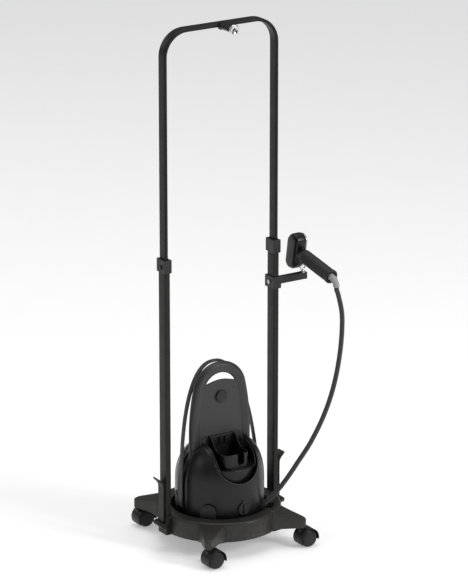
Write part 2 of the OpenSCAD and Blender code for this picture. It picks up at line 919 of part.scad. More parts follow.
module holder_screw() {
    color("Silver") translate([sleeve_x0 - 4, 0, holder_z]) {
        along_x(-3, 0, 6);
        along_x(0, 4, 3);
    }
}

module handset_grip() {
    color("Black") hand_frame() rotate([90, 0, 0]) rotate_extrude($fn = 60) polygon(
        concat([[0, 0], [grip_r - 3, 0], [grip_r - 0.8, 1.2], [grip_r, 4]],
               [for (i = [0 : 15]) each
                    [[grip_r, 30 + 6*i], [grip_r - 0.6, 31 + 6*i],
                     [grip_r - 0.6, 32 + 6*i], [grip_r, 33 + 6*i]]],
               [[grip_r, grip_len], [0, grip_len]]));
}

module handset_ring() {
    color("DimGray") hand_frame() difference() {
        along_y(-grip_len - ring_len, -grip_len, grip_r + 1);
        along_y(-grip_len - 20, -grip_len - 2.5, 13);
    }
}

module handset_neck() {
    color("Black") hand_frame() difference() {
        along_y(0, neck_len, grip_r - 1.5);
        translate([0, neck_len/2, 8]) cylinder(r = 5.06, h = 20);
    }
}

module steam_trigger() {
    color("Gray") hand_frame() translate([0, neck_len/2, 11]) cylinder(r = 5, h = 9);
}

module stadium(half, r) {
    translate([-r, -half + r]) square([2*r, 2*(half - r)]);
    translate([0, half - r]) circle(r = r);
    translate([0, -half + r]) circle(r = r);
}

module head_housing() {
    color("Black") hand_frame() translate([head_x0, neck_len + head_r, 0])
        rotate([90, 0, 90]) {
            linear_extrude(head_x1 - head_x0) stadium(head_half_z, head_r);
            translate([0, 0, -4]) linear_extrude(4) stadium(head_half_z - 5, head_r - 5);
        }
}

module head_plate() {
    color("Silver") hand_frame() translate([head_x1, neck_len + head_r, 0])
        rotate([90, 0, 90]) linear_extrude(4) difference() {
            stadium(head_half_z - 3, head_r - 3);
            for (z = [-36 : 12 : 36]) translate([0, z]) circle(r = 1.6);
            for (z = [-30 : 12 : 30]) {
                translate([9, z]) circle(r = 1.6);
                translate([-9, z]) circle(r = 1.6);
            }
        }
}

module strain_relief() {
    color("LightGray") hand_frame() {
        along_y(boot_y, -grip_len - 2.5, boot_r);
        for (y = [0, 4]) along_y(boot_y + y, boot_y + y + 2, boot_r + 1.5);
        translate([0, boot_y, -boot_bend_r]) rotate([0, -90, 0]) {
            rotate([0, 0, -boot_turn]) rotate_extrude(angle = boot_turn, $fn = 72)
                translate([boot_bend_r, 0]) circle(r = boot_r, $fn = 32);
            for (k = [0 : boot_ribs - 1]) rotate([0, 0, -15 - 11*k])
                rotate_extrude(angle = 5, $fn = 72)
                    translate([boot_bend_r, 0]) circle(r = boot_r + 1.2, $fn = 32);
        }
    }
}

// ---------------------------------------------------------------- hose

function catmull(a, b, c, d, t) =
    0.5*((2*b) + (c - a)*t + (2*a - 5*b + 4*c - d)*t*t + (3*b - a - 3*c + d)*t*t*t);

function unit(v) = v/norm(v);

hose_n = len(route);
hose_pts = concat(
    [for (i = [0 : hose_n - 2]) for (k = [0 : hose_steps - 1])
        let (a = route[max(i - 1, 0)], b = route[i], c = route[i + 1],
             d = route[min(i + 2, hose_n - 1)])
        catmull(a, b, c, d, k/hose_steps)],
    [route[hose_n - 1]]);
hose_last = len(hose_pts) - 1;

function hose_tan(i) =
    i == 0 ? unit(hose_dir) :
    i == hose_last ? unit(hose_end - route[hose_n - 2]) :
    unit(hose_pts[i + 1] - hose_pts[i - 1]);

function hose_side(i) = unit(cross(hose_tan(i), [0.36, 0.93, 0]));

module hose() {
    rings = [for (i = [0 : hose_last])
        let (t = hose_tan(i), u = hose_side(i), v = cross(t, u))
        for (k = [0 : hose_sides - 1])
            hose_pts[i] + hose_r*(cos(360*k/hose_sides)*u + sin(360*k/hose_sides)*v)];
    sides = [for (i = [0 : hose_last - 1]) for (k = [0 : hose_sides - 1])
        let (a = i*hose_sides + k, b = i*hose_sides + (k + 1)%hose_sides)
        [a, a + hose_sides, b + hose_sides, b]];
    first = [for (k = [0 : hose_sides - 1]) k];
    last = [for (k = [hose_sides - 1 : -1 : 0]) hose_last*hose_sides + k];
    color("Black") polyhedron(rings, concat(sides, [first, last]));
}

// ---------------------------------------------------------------- nodes

base_tray();
post_bracket_l();
post_bracket_r();
hinge_pin_l();
hinge_pin_r();
latch_lever_l();
latch_lever_r();
sleeve_l();
sleeve_r();
sleeve_collar_l();
sleeve_collar_r();
lock_button_l();
lock_button_r();
rail_frame();
rail_glides();
hanger_peg();
peg_cap();
caster_fork_1();
caster_fork_2();
caster_fork_3();
caster_fork_4();
caster_wheels_1();
caster_wheels_2();
caster_wheels_3();
caster_wheels_4();
caster_axle_1();
caster_axle_2();
caster_axle_3();
caster_axle_4();
unit_base();
unit_feet();
unit_shell();
back_plate();
plate_badge();
plate_screws();
cup_insert();
boiler();
tank_seat();
hose_gland();
mains_inlet();
power_pedal();
drain_plug();
tank_body();
tank_hoop();
tank_valve();
tank_cap();
holder_arm();
holder_hook();
holder_screw();
handset_grip();
handset_ring();
handset_neck();
head_housing();
head_plate();
steam_trigger();
strain_relief();
hose();
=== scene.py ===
import bpy
import bmesh
import math
from mathutils import Matrix, Vector


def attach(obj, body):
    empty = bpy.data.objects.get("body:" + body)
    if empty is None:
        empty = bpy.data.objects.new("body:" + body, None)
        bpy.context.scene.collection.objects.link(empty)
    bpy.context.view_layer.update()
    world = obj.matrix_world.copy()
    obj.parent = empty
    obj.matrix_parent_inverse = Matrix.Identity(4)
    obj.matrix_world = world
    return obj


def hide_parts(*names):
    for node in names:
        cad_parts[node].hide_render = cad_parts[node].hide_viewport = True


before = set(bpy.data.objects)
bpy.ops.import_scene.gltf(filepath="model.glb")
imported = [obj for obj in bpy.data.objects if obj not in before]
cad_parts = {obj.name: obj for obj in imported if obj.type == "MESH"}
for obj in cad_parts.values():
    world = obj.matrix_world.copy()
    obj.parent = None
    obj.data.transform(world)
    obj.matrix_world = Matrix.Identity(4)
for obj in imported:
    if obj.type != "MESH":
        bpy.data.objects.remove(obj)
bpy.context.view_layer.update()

# ------------------------------------------------------------------ camera
CAM_AZ, CAM_EL, CAM_DIST = -32.26, 18.15, 9.70
CAM_TARGET = Vector((0.0459, 0.0, 0.6775))
LENS = 226.6

a, e = math.radians(CAM_AZ), math.radians(CAM_EL)
back = Vector((math.sin(a) * math.cos(e), -math.cos(a) * math.cos(e), math.sin(e)))
cam_data = bpy.data.cameras.new("camera")
cam_data.sensor_fit = "VERTICAL"
cam_data.sensor_height = 36.0
cam_data.lens = LENS
cam_data.clip_end = 60.0
cam_data.dof.use_dof = False
cam = bpy.data.objects.new("camera", cam_data)
cam.location = CAM_TARGET + back * CAM_DIST
cam.rotation_euler = (-back).to_track_quat("-Z", "Y").to_euler()
bpy.context.scene.collection.objects.link(cam)
bpy.context.scene.camera = cam

# ------------------------------------------------------------------ sizes, mm
BODY_R, BODY_TOP, BODY_Z0, WAIST_Z = 119.6, 289.0, 76.0, 166.0
SHELL_TOP, SHOULDER_Y, SPLIT_Y, TANK_Y = 292.0, -18.0, 12.8, 13.5
WALL, BAND_INSET, BAND_TOP, LEDGE_Z = 3.0, 5.0, 262.0, 222.0
HOOP_Y, HOOP_LEAN, HOOP_BEND_Z = 2.5, math.radians(5), 215.0
RIM_R, BADGE_Z, FLOOR_GLOW = 12.0, 401.0, 0.32
TRAY_R, TRAY_TOP, TRAY_OPEN = 165.0, 100.0, 130.0
CASTER_X, CASTER_Y, TRAIL, WHEEL_R = 145.0, 177.5, 16.0, 24.5
HAND = Matrix.Translation((262, -6, 745)) @ Matrix.Rotation(math.radians(10), 4, "X")
GRIP_R, GRIP_LEN, RING_LEN = 18.5, 126.0, 7.0


# ------------------------------------------------------------------ materials
def tree(name):
    m = bpy.data.materials.new(name)
    m.use_nodes = True
    m.node_tree.nodes.clear()
    out = m.node_tree.nodes.new("ShaderNodeOutputMaterial")
    bsdf = m.node_tree.nodes.new("ShaderNodeBsdfPrincipled")
    m.node_tree.links.new(bsdf.outputs[0], out.inputs[0])
    return m, m.node_tree, bsdf


def node(t, kind, **values):
    n = t.nodes.new(kind)
    for k, val in values.items():
        if k in n.inputs:
            n.inputs[k].default_value = val
        else:
            setattr(n, k, val)
    return n


def coords(t, kind="Object", scale=(1, 1, 1)):
    c = node(t, "ShaderNodeTexCoord")
    m = node(t, "ShaderNodeMapping")
    m.inputs["Scale"].default_value = scale
    t.links.new(c.outputs[kind], m.inputs["Vector"])
    return m.outputs[0]


def noise(t, vec, scale, detail=3.0, rough=0.5):
    n = node(t, "ShaderNodeTexNoise")
    n.inputs["Scale"].default_value = scale
    n.inputs["Detail"].default_value = detail
    n.inputs["Roughness"].default_value = rough
    t.links.new(vec, n.inputs["Vector"])
    return n.outputs[0]


def ramp(t, fac, lo, hi, c0, c1):
    r = node(t, "ShaderNodeMapRange")
    r.inputs["From Min"].default_value = lo
    r.inputs["From Max"].default_value = hi
    r.inputs["To Min"].default_value = c0
    r.inputs["To Max"].default_value = c1
    r.clamp = True
    t.links.new(fac, r.inputs["Value"])
    return r.outputs[0]


def mix(t, fac, c0, c1):
    m = node(t, "ShaderNodeMix")
    m.data_type = "RGBA"
    t.links.new(fac, m.inputs[0])
    for sock, c in ((m.inputs[6], c0), (m.inputs[7], c1)):
        if isinstance(c, tuple):
            sock.default_value = (*c, 1.0)
        else:
            t.links.new(c, sock)
    return m.outputs[2]


def bump(t, bsdf, height, strength, dist):
    b = node(t, "ShaderNodeBump")
    b.inputs["Strength"].default_value = strength
    b.inputs["Distance"].default_value = dist
    t.links.new(height, b.inputs["Height"])
    t.links.new(b.outputs[0], bsdf.inputs["Normal"])


def plastic(name, base, dusty, rough=(0.42, 0.56), grain=900.0, grain_h=0.00006,
            spec=0.5, dust_z=None, scuffs=0.35):
    m, t, b = tree(name)
    vec = coords(t)
    broad = noise(t, vec, 9.0, 4.0, 0.6)
    fine = noise(t, vec, grain, 2.0, 0.6)
    col = mix(t, ramp(t, broad, 0.42, 0.68, 0.0, 0.55), base, dusty)
    if dust_z is not None:
        xyz = node(t, "ShaderNodeSeparateXYZ")
        c = node(t, "ShaderNodeTexCoord")
        t.links.new(c.outputs["Object"], xyz.inputs[0])
        low = ramp(t, xyz.outputs[2], dust_z[0], dust_z[1], 0.5, 0.0)
        patch = noise(t, vec, 60.0, 5.0, 0.7)
        mul = node(t, "ShaderNodeMath", operation="MULTIPLY")
        t.links.new(low, mul.inputs[0])
        t.links.new(ramp(t, patch, 0.45, 0.75, 0.0, 1.0), mul.inputs[1])
        col = mix(t, mul.outputs[0], col, tuple(min(1.0, c * 2.2) for c in dusty))
    # thin scuffs: stretched noise, thresholded
    sv = coords(t, "Object", (1.0, 1.0, 9.0))
    scuff = ramp(t, noise(t, sv, 70.0, 6.0, 0.75), 0.66, 0.74, 0.0, scuffs)
    col = mix(t, scuff, col, tuple(min(1.0, c * 1.7) for c in dusty))
    t.links.new(col, b.inputs["Base Color"])
    ro = node(t, "ShaderNodeMath", operation="ADD")
    t.links.new(ramp(t, noise(t, vec, 28.0, 4.0, 0.6), 0.3, 0.7, rough[0], rough[1]),
                ro.inputs[0])
    t.links.new(ramp(t, fine, 0.3, 0.7, -0.03, 0.03), ro.inputs[1])
    t.links.new(ro.outputs[0], b.inputs["Roughness"])
    b.inputs["Specular IOR Level"].default_value = spec
    bump(t, b, fine, 0.6, grain_h)
    return m


def metal(name, base, tint, rough=(0.18, 0.32), brushed=(1, 1, 1), scale=300.0, h=0.00002):
    m, t, b = tree(name)
    vec = coords(t, "Object", brushed)
    lines = noise(t, vec, scale, 4.0, 0.7)
    soil = noise(t, coords(t), 45.0, 5.0, 0.7)
    t.links.new(mix(t, ramp(t, soil, 0.5, 0.75, 0.0, 0.6), base, tint), b.inputs["Base Color"])
    b.inputs["Metallic"].default_value = 1.0
    t.links.new(ramp(t, lines, 0.3, 0.7, rough[0], rough[1]), b.inputs["Roughness"])
    bump(t, b, lines, 0.5, h)
    return m


def painted(name, base, chip, rough=(0.36, 0.48), spec=0.5):
    m, t, b = tree(name)
    vec = coords(t)
    peel = noise(t, vec, 420.0, 2.0, 0.5)
    broad = noise(t, vec, 6.0, 4.0, 0.6)
    col = mix(t, ramp(t, broad, 0.4, 0.7, 0.0, 0.4), base, tuple(c * 1.35 for c in base))
    sv = coords(t, "Object", (1.0, 1.0, 0.12))
    rub = ramp(t, noise(t, sv, 240.0, 5.0, 0.7), 0.67, 0.73, 0.0, 0.35)
    col = mix(t, rub, col, chip)
    t.links.new(col, b.inputs["Base Color"])
    t.links.new(ramp(t, noise(t, vec, 35.0, 4.0, 0.6), 0.3, 0.7, rough[0], rough[1]),
                b.inputs["Roughness"])
    b.inputs["Specular IOR Level"].default_value = spec
    bump(t, b, peel, 0.35, 0.00008)
    return m


def smoked(name, base):
    m, t, b = tree(name)
    vec = coords(t)
    film = noise(t, vec, 40.0, 5.0, 0.65)
    t.links.new(mix(t, ramp(t, film, 0.45, 0.75, 0.0, 0.5), base,
                    tuple(c * 1.8 for c in base)), b.inputs["Base Color"])
    t.links.new(ramp(t, film, 0.3, 0.7, 0.16, 0.30), b.inputs["Roughness"])
    b.inputs["Specular IOR Level"].default_value = 0.25
    b.inputs["Coat Weight"].default_value = 0.05
    b.inputs["Coat Roughness"].default_value = 0.12
    bump(t, b, noise(t, vec, 18.0, 2.0, 0.5), 0.4, 0.0004)
    return m


def braid(name, base, light):
    m, t, b = tree(name)
    mx = node(t, "ShaderNodeMath", operation="MAXIMUM")
    for k, turns in enumerate((10.0, -10.0)):
        w = node(t, "ShaderNodeTexWave", wave_type="BANDS", bands_direction="DIAGONAL")
        w.inputs["Scale"].default_value = 1.0
        w.inputs["Distortion"].default_value = 0.0
        t.links.new(coords(t, "UV", (turns, 260.0, 1.0)), w.inputs["Vector"])
        t.links.new(w.outputs[1], mx.inputs[k])
    fuzz = noise(t, coords(t), 700.0, 3.0, 0.6)
    add = node(t, "ShaderNodeMath", operation="MULTIPLY")
    t.links.new(mx.outputs[0], add.inputs[0])
    t.links.new(ramp(t, fuzz, 0.2, 0.8, 0.7, 1.0), add.inputs[1])
    t.links.new(mix(t, add.outputs[0], base, light), b.inputs["Base Color"])
    t.links.new(ramp(t, fuzz, 0.3, 0.7, 0.62, 0.8), b.inputs["Roughness"])
    b.inputs["Sheen Weight"].default_value = 0.3
    bump(t, b, add.outputs[0], 0.7, 0.0005)
    return m


M = {
    "base_plastic": plastic("base_plastic", (0.021, 0.0205, 0.0188), (0.030, 0.0292, 0.0268),
                            spec=0.34, rough=(0.34, 0.44), dust_z=(0.05, 0.10)),
    "frame_paint": painted("frame_paint", (0.0085, 0.0085, 0.0085), (0.03, 0.03, 0.029), spec=0.22),
    "lever_paint": painted("lever_paint", (0.017, 0.0167, 0.0156), (0.05, 0.049, 0.047), spec=0.2),
    "unit_plastic": plastic("unit_plastic", (0.0052, 0.0052, 0.0054), (0.0085, 0.0085, 0.0090),
                            rough=(0.30, 0.40), grain=1300.0, grain_h=0.00003, spec=0.34),
    "plate_plastic": plastic("plate_plastic", (0.029, 0.029, 0.029), (0.037, 0.037, 0.037),
                             rough=(0.42, 0.52)),
    "trim_plastic": plastic("trim_plastic", (0.012, 0.012, 0.012), (0.019, 0.019, 0.019),
                            rough=(0.38, 0.50), spec=0.4),
    "tank_plastic": smoked("tank_plastic", (0.011, 0.0113, 0.0125)),
    "caster_plastic": plastic("caster_plastic", (0.012, 0.012, 0.012), (0.020, 0.020, 0.0195), spec=0.28,
                              rough=(0.34, 0.46), dust_z=(0.0, 0.05)),
    "tread_plastic": plastic("tread_plastic", (0.014, 0.014, 0.014), (0.024, 0.024, 0.023), spec=0.28,
                             rough=(0.42, 0.58), dust_z=(0.0, 0.05)),
    "steel": metal("steel", (0.42, 0.42, 0.43), (0.30, 0.29, 0.28), (0.25, 0.4),
                   (1, 1, 14), 260.0),
    "dark_steel": metal("dark_steel", (0.085, 0.085, 0.088), (0.05, 0.048, 0.045), (0.3, 0.45),
                        (1, 1, 8), 260.0),
    "chrome": metal("chrome", (0.62, 0.62, 0.63), (0.45, 0.45, 0.45), (0.08, 0.18),
                    (1, 1, 1), 500.0, 0.000008),
    "boiler_alloy": metal("boiler_alloy", (0.5, 0.5, 0.5), (0.33, 0.33, 0.34), (0.4, 0.6),
                          (1, 1, 1), 900.0, 0.0001),
    "grip_rubber": plastic("grip_rubber", (0.022, 0.022, 0.023), (0.034, 0.034, 0.034),
                           rough=(0.56, 0.7), grain=1500.0, spec=0.4),
    "boot_rubber": plastic("boot_rubber", (0.40, 0.40, 0.41), (0.30, 0.30, 0.31),
                           rough=(0.42, 0.55), grain=1200.0, spec=0.45, scuffs=0.1),
    "hose_cover": braid("hose_cover", (0.010, 0.010, 0.011), (0.038, 0.038, 0.040)),
    "foot_rubber": plastic("foot_rubber", (0.016, 0.016, 0.016), (0.028, 0.028, 0.027),
                           rough=(0.6, 0.75), spec=0.35),
    # painted shade: near-black colour standing in for the shadow inside slots and gaps
    "dark_gap": plastic("dark_gap", (0.004, 0.004, 0.004), (0.007, 0.007, 0.007),
                        rough=(0.7, 0.85), spec=0.2),
}


# ------------------------------------------------------------------ mesh building
class Piece:
    """Gathers shells in millimetres and makes one object of them."""

    def __init__(self):
        self.v, self.f, self.m, self.uv = [], [], [], {}

    def add(self, verts, faces, mat=0, at=None):
        n = len(self.v)
        for p in verts:
            p = Vector(p)
            self.v.append(at @ p if at is not None else p)
        for f in faces:
            self.f.append([n + i for i in f])
            self.m.append(mat)
        return n

    def rings(self, rings, mat=0, at=None, caps=(True, True), closed=True, loop=False):
        k = len(rings[0])
        verts = [p for r in rings for p in r]
        faces = []
        last = len(rings) if loop else len(rings) - 1
        for i in range(last):
            j = (i + 1) % len(rings)
            for s in range(k if closed else k - 1):
                u = (s + 1) % k
                faces.append((i * k + s, i * k + u, j * k + u, j * k + s))
        if not loop and closed:
            if caps[0]:
                faces.append(tuple(range(k - 1, -1, -1)))
            if caps[1]:
                faces.append(tuple((len(rings) - 1) * k + s for s in range(k)))
        return self.add(verts, faces, mat, at)

    def revolve(self, profile, mat=0, at=None, n=72, a0=0.0, a1=360.0, loop=False):
        """profile: (radius, z) pairs. With loop the section is closed on itself."""
        full = abs(a1 - a0) >= 359.9
        steps = n if full else n + 1
        rings = []
        for i in range(steps):
            t = math.radians(a0 + (a1 - a0) * i / n)
            rings.append([(r * math.cos(t), r * math.sin(t), z) for r, z in profile])
        self.rings(rings, mat, at, caps=(loop, loop), closed=loop, loop=full)

    def sweep(self, path, section, mat=0, at=None, side=(0, 1, 0), caps=(True, True),
              loop=False):
        """section: (u, w) pairs; u along side, w across it."""
        path = [Vector(p) for p in path]
        side = Vector(side)
        rings = []
        for i, p in enumerate(path):
            if loop:
                t = path[(i + 1) % len(path)] - path[i - 1]
            else:
                t = path[min(i + 1, len(path) - 1)] - path[max(i - 1, 0)]
            t.normalize()
            s = (side - t * side.dot(t)).normalized()
            w = t.cross(s)
            rings.append([p + s * q[0] + w * q[1] for q in section])
        self.rings(rings, mat, at, caps=caps, loop=loop)

    def bead(self, line, radius, n=10):
        """A round bead along a line, its section carried along without twisting."""
        rings, up = [], Vector((0, 0, 1))
        for i, q in enumerate(line):
            t = (line[min(i + 1, len(line) - 1)] - line[max(i - 1, 0)]).normalized()
            up = (up - t * up.dot(t)).normalized()
            side = t.cross(up)
            rings.append([q + up * a_ + side * b_ for a_, b_ in circle(radius, n)])
        self.rings(rings)

    def flat(self, loops, thick, edge, res=3, at=None):
        self.add(*flat_part(loops, thick, edge, res), 0, at)

    def build(self, name, mats, body, replaces=(), sharp=38.0, bevel=0.0):
        me = bpy.data.meshes.new(name)
        me.from_pydata([(p[0] * 0.001, p[1] * 0.001, p[2] * 0.001) for p in self.v], [],
                       self.f)
        me.polygons.foreach_set("material_index", self.m)
        bm = bmesh.new()
        bm.from_mesh(me)
        bmesh.ops.remove_doubles(bm, verts=bm.verts, dist=2e-6)
        bmesh.ops.recalc_face_normals(bm, faces=bm.faces)
        bm.to_mesh(me)
        bm.free()
        return place(name, me, mats, body, replaces, sharp, bevel)


def place(name, me, mats, body, replaces=(), sharp=38.0, bevel=0.0):
    for p in me.polygons:
        p.use_smooth = True
    me.set_sharp_from_angle(angle=math.radians(sharp))
    o = bpy.data.objects.new(name, me)
    bpy.context.scene.collection.objects.link(o)
    names = [mats] if isinstance(mats, str) else mats
    for s in names:
        me.materials.append(M[s])
    if bevel:
        soften(o, bevel)
    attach(o, body)
    if replaces:
        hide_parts(*replaces)
    return o


def soften(o, width, segments=3, angle=32.0):
    b = o.modifiers.new("edge_round", "BEVEL")
    b.width = width * 0.001
    b.segments = segments
    b.limit_method = "ANGLE"
    b.angle_limit = math.radians(angle)
    b.harden_normals = True
    b.use_clamp_overlap = True


def circle(r, n=24):
    return [(r * math.cos(2 * math.pi * i / n), r * math.sin(2 * math.pi * i / n))
            for i in range(n)]


def hole(cx, cy, r, n):
    """A clockwise circle, for a hole in a flat part."""
    return [(cx + r * math.cos(-2 * math.pi * k / n), cy + r * math.sin(-2 * math.pi * k / n))
            for k in range(n)]


def arc(cx, cy, r, a0, a1, n):
    """n + 1 points of an arc from a0 to a1 degrees."""
    return [(cx + r * math.cos(math.radians(a0 + (a1 - a0) * k / n)),
             cy + r * math.sin(math.radians(a0 + (a1 - a0) * k / n))) for k in range(n + 1)]


def mirrored(path):
    """The path, then its mirror image in X run backwards."""
    return path + [Vector((-q.x, q.y, q.z)) for q in reversed(path[:-1])]


def rrect(hx, hy, r, n=5):
    """Rounded rectangle as (u, w) pairs."""
    pts = []
    for cx, cy, a0 in ((hx - r, hy - r, 0), (-hx + r, hy - r, 90),
                       (-hx + r, -hy + r, 180), (hx - r, -hy + r, 270)):
        pts += arc(cx, cy, r, a0, a0 + 90, n)
    return pts


def rounded_block(p, hx, hy, z0, z1, r, edge, mat=0, at=None, n=5):
    """A block with rounded upright corners and softened rims."""
    rings = []
    for k in range(5):
        t = math.radians(90 * k / 4)
        i = edge * (1 - math.sin(t))
        rings.append([(x, y, z0 + edge * (1 - math.cos(t)))
                      for x, y in rrect(hx - i, hy - i, max(r - i, 0.2), n)])
    for k in range(5):
        t = math.radians(90 * k / 4)
        i = edge * (1 - math.cos(t))
        rings.append([(x, y, z1 - edge * (1 - math.sin(t)))
                      for x, y in rrect(hx - i, hy - i, max(r - i, 0.2), n)])
    p.rings(rings, mat, at)


def disc_profile(r, z0, z1, edge, n=4):
    """Closed profile of a solid disc with rounded rims, for revolve."""
    return ([(0.0, z0)] + arc(r - edge, z0 + edge, edge, -90, 0, n)
            + arc(r - edge, z1 - edge, edge, 0, 90, n) + [(0.0, z1)])


def catmull(pts, steps):
    out = []
    n = len(pts)
    P = [Vector(p) for p in pts]
    for i in range(n - 1):
        p0, p1, p2, p3 = P[max(i - 1, 0)], P[i], P[i + 1], P[min(i + 2, n - 1)]
        for k in range(steps):
            t = k / steps
            out.append(0.5 * ((2 * p1) + (p2 - p0) * t + (2 * p0 - 5 * p1 + 4 * p2 - p3) * t * t
                              + (3 * p1 - p0 - 3 * p2 + p3) * t ** 3))
    out.append(P[-1])
    return out


AXIS_Y = Matrix.Rotation(math.radians(90), 4, "X")      # local +Z becomes -Y
UPRIGHT = AXIS_Y                                        # plan XY becomes XZ, facing -Y


def at(x, y, z):
    return Matrix.Translation((x, y, z))


# ------------------------------------------------------------------ hose
HOSE_D = 13.0
hose_dir = Vector((0.66, -0.34, 0.67)).normalized()
hose_start = Vector((84, -92, 108))
boot_turn, boot_bend = math.radians(72), 25.0
boot_y = -(GRIP_LEN + RING_LEN + 4)
hose_end = HAND @ Vector((0, boot_y - boot_bend * math.sin(boot_turn),
                          -boot_bend * (1 - math.cos(boot_turn))))
end_dir = Vector((0, -math.cos(math.radians(82)), -math.sin(math.radians(82))))
route = [hose_start, hose_start + 12 * hose_dir,
         (104, -101, 127), (124, -109, 152), (144, -117, 181), (166, -125, 216),
         (198, -138, 270), (228, -149, 334), (249, -157, 396), (263, -162, 456),
         (272, -166, 520), (276, -168, 580), (275, -168, 630),
         hose_end + 22 * end_dir + Vector((4, 0, 0)), hose_end + 8 * end_dir, hose_end]
line = catmull(route, 14)
SIDES = 20
hv, hf, huv = [], [], []
dist, run = [0.0], 0.0
for i in range(1, len(line)):
    run += (line[i] - line[i - 1]).length
    dist.append(run)
ref = Vector((0.36, 0.93, 0.0))
for i, p in enumerate(line):
    t = (line[min(i + 1, len(line) - 1)] - line[max(i - 1, 0)]).normalized()
    if i == 0:
        t = hose_dir
    u = t.cross(ref).normalized()
    w = t.cross(u)
    for k in range(SIDES):
        q = 2 * math.pi * k / SIDES
        hv.append((p + (u * math.cos(q) + w * math.sin(q)) * HOSE_D / 2) * 0.001)
for i in range(len(line) - 1):
    for k in range(SIDES):
        j = (k + 1) % SIDES
        hf.append((i * SIDES + k, i * SIDES + j, (i + 1) * SIDES + j, (i + 1) * SIDES + k))
        huv.append([(k / SIDES, dist[i]), ((k + 1) / SIDES, dist[i]),
                    ((k + 1) / SIDES, dist[i + 1]), (k / SIDES, dist[i + 1])])
hf.append(tuple(range(SIDES - 1, -1, -1)))
huv.append([(0.5, 0.0)] * SIDES)
hf.append(tuple((len(line) - 1) * SIDES + k for k in range(SIDES)))
huv.append([(0.5, run)] * SIDES)
me = bpy.data.meshes.new("steam_hose")
me.from_pydata(hv, [], hf)
layer = me.uv_layers.new(name="along")
i = 0
for quad in huv:
    for u, d in quad:
        layer.data[i].uv = (u, d * 0.001)
        i += 1
hose = place("steam_hose", me, "hose_cover", "stand", ("hose",), sharp=60)


# ------------------------------------------------------------------ carried-over nodes
def dress(name, mat, round_mm=0.0, angle=32.0):
    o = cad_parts[name]
    o.data.materials.clear()
    o.data.materials.append(M[mat])
    if round_mm:
        w = o.modifiers.new("weld", "WELD")
        w.merge_threshold = 0.00002
        soften(o, round_mm, 3, angle)


for s in ("l", "r"):
    dress("post_bracket_" + s, "lever_paint", 2.0)
    dress("hinge_pin_" + s, "dark_steel", 0.8)
    dress("latch_lever_" + s, "lever_paint", 0.8)
    dress("sleeve_collar_" + s, "trim_plastic", 1.6)
    dress("lock_button_" + s, "trim_plastic", 1.2)
for name, mat, edge in (
        ("rail_glides", "foot_rubber", 0.6), ("unit_feet", "foot_rubber", 0.8),
        ("boiler", "boiler_alloy", 2.0), ("tank_seat", "trim_plastic", 0.6),
        ("hose_gland", "foot_rubber", 1.5), ("mains_inlet", "foot_rubber", 0.8),
        ("tank_valve", "trim_plastic", 0.8), ("plate_screws", "dark_steel", 0.3),
        ("holder_arm", "trim_plastic", 1.4), ("holder_screw", "steel", 0.8),
        ("steam_trigger", "trim_plastic", 1.2)):
    dress(name, mat, edge)
for i in (1, 2, 3, 4):
    dress("caster_axle_%d" % i, "dark_steel", 0.4)


# ------------------------------------------------------------------ tray
def tray():
    p = Piece()
    rim = 7.0
    prof = [(0.0, 62.0), (TRAY_OPEN - 6, 62.0)]
    prof += arc(TRAY_OPEN - 6, 68, 6, -90, 0, 6)
    prof += arc(TRAY_OPEN + 3, TRAY_TOP - 3, 3, 180, 90, 6)
    prof += [(TRAY_OPEN + 12, TRAY_TOP + 0.3), (146.4, TRAY_TOP + 0.2), (147.4, TRAY_TOP + 0.2)]
    prof += arc(TRAY_R - rim, TRAY_TOP - rim, rim, 90, 0, 8)
    prof += arc(TRAY_R - 1.5, 48.5, 1.5, 0, -90, 4)
    prof += [(TRAY_R - 4, 47.0), (TRAY_R - 4.2, 96.0), (134.0, 96.0), (134.0, 58.0), (0.0, 58.0)]
    # turned ring with a relief under the hose and a notch across the rim
    rings = []
    for i in range(360):
        t = math.radians(i)
        ring = []
        for r, z in prof:
            if abs((i - 316 + 180) % 360 - 180) <= 7 and 128 < r < 147 and z > 76:
                z = 76.0
            if i in (300, 301) and r > 127 and z > 94:
                z -= 3.0
            ring.append((r * math.cos(t), r * math.sin(t), z))
        rings.append(ring)
    p.rings(rings, caps=(False, False), closed=False, loop=True)
    # arms, tapering and sloping down to the casters
    tip = math.hypot(CASTER_X, CASTER_Y)
    ang = math.degrees(math.atan2(CASTER_Y, CASTER_X))

    def outline(inset):
        pts = []
        x0, x1, h0, h1 = 158.0, tip + 2, 34.0, 11.0
        n = 12
        for i in range(n + 1):
            f = i / n
            x = x0 + (x1 - x0) * f
            flare = 2.0 * max(0.0, 1 - max(0.0, x - x0 - 6) / 20.0) ** 2
            y = h0 + (h1 - h0) * max(0.0, (x - TRAY_R)) / (x1 - TRAY_R) + flare - inset
            pts.append((x, y))
        end = []
        for i in range(1, 12):
            t = math.radians(90 - 180 * i / 12)
            end.append((x1 + (h1 - inset) * math.cos(t), (h1 - inset) * math.sin(t)))
        return pts + end + [(x, -y) for x, y in reversed(pts)]

    def ztop(x):
        return 95.5 - 11.5 * max(0.0, x - TRAY_R) / (tip - TRAY_R) - 0.15 * max(0.0, x - tip)

    def zbot(x):
        return 47.0 + 8.0 * min(1.0, max(0.0, (x - 166) / 22.0))

    for turn in (ang, 180 - ang, 180 + ang, -ang):
        rings = []
        edge = 3.6
        for k in range(4):
            t = math.radians(90 * k / 3)
            i = 1.5 * (1 - math.sin(t))
            rings.append([(x, y, zbot(x) + 1.5 * (1 - math.cos(t))) for x, y in outline(i)])
        for k in range(9):
            t = math.radians(90 * k / 8)
            i = edge * (1 - math.cos(t))
            rings.append([(x, y, ztop(x) - edge * (1 - math.sin(t))) for x, y in outline(i)])
        p.rings(rings, at=Matrix.Rotation(math.radians(turn), 4, "Z"))
    p.build("tray_moulding", "base_plastic", "stand", ("base_tray",), sharp=50)


tray()


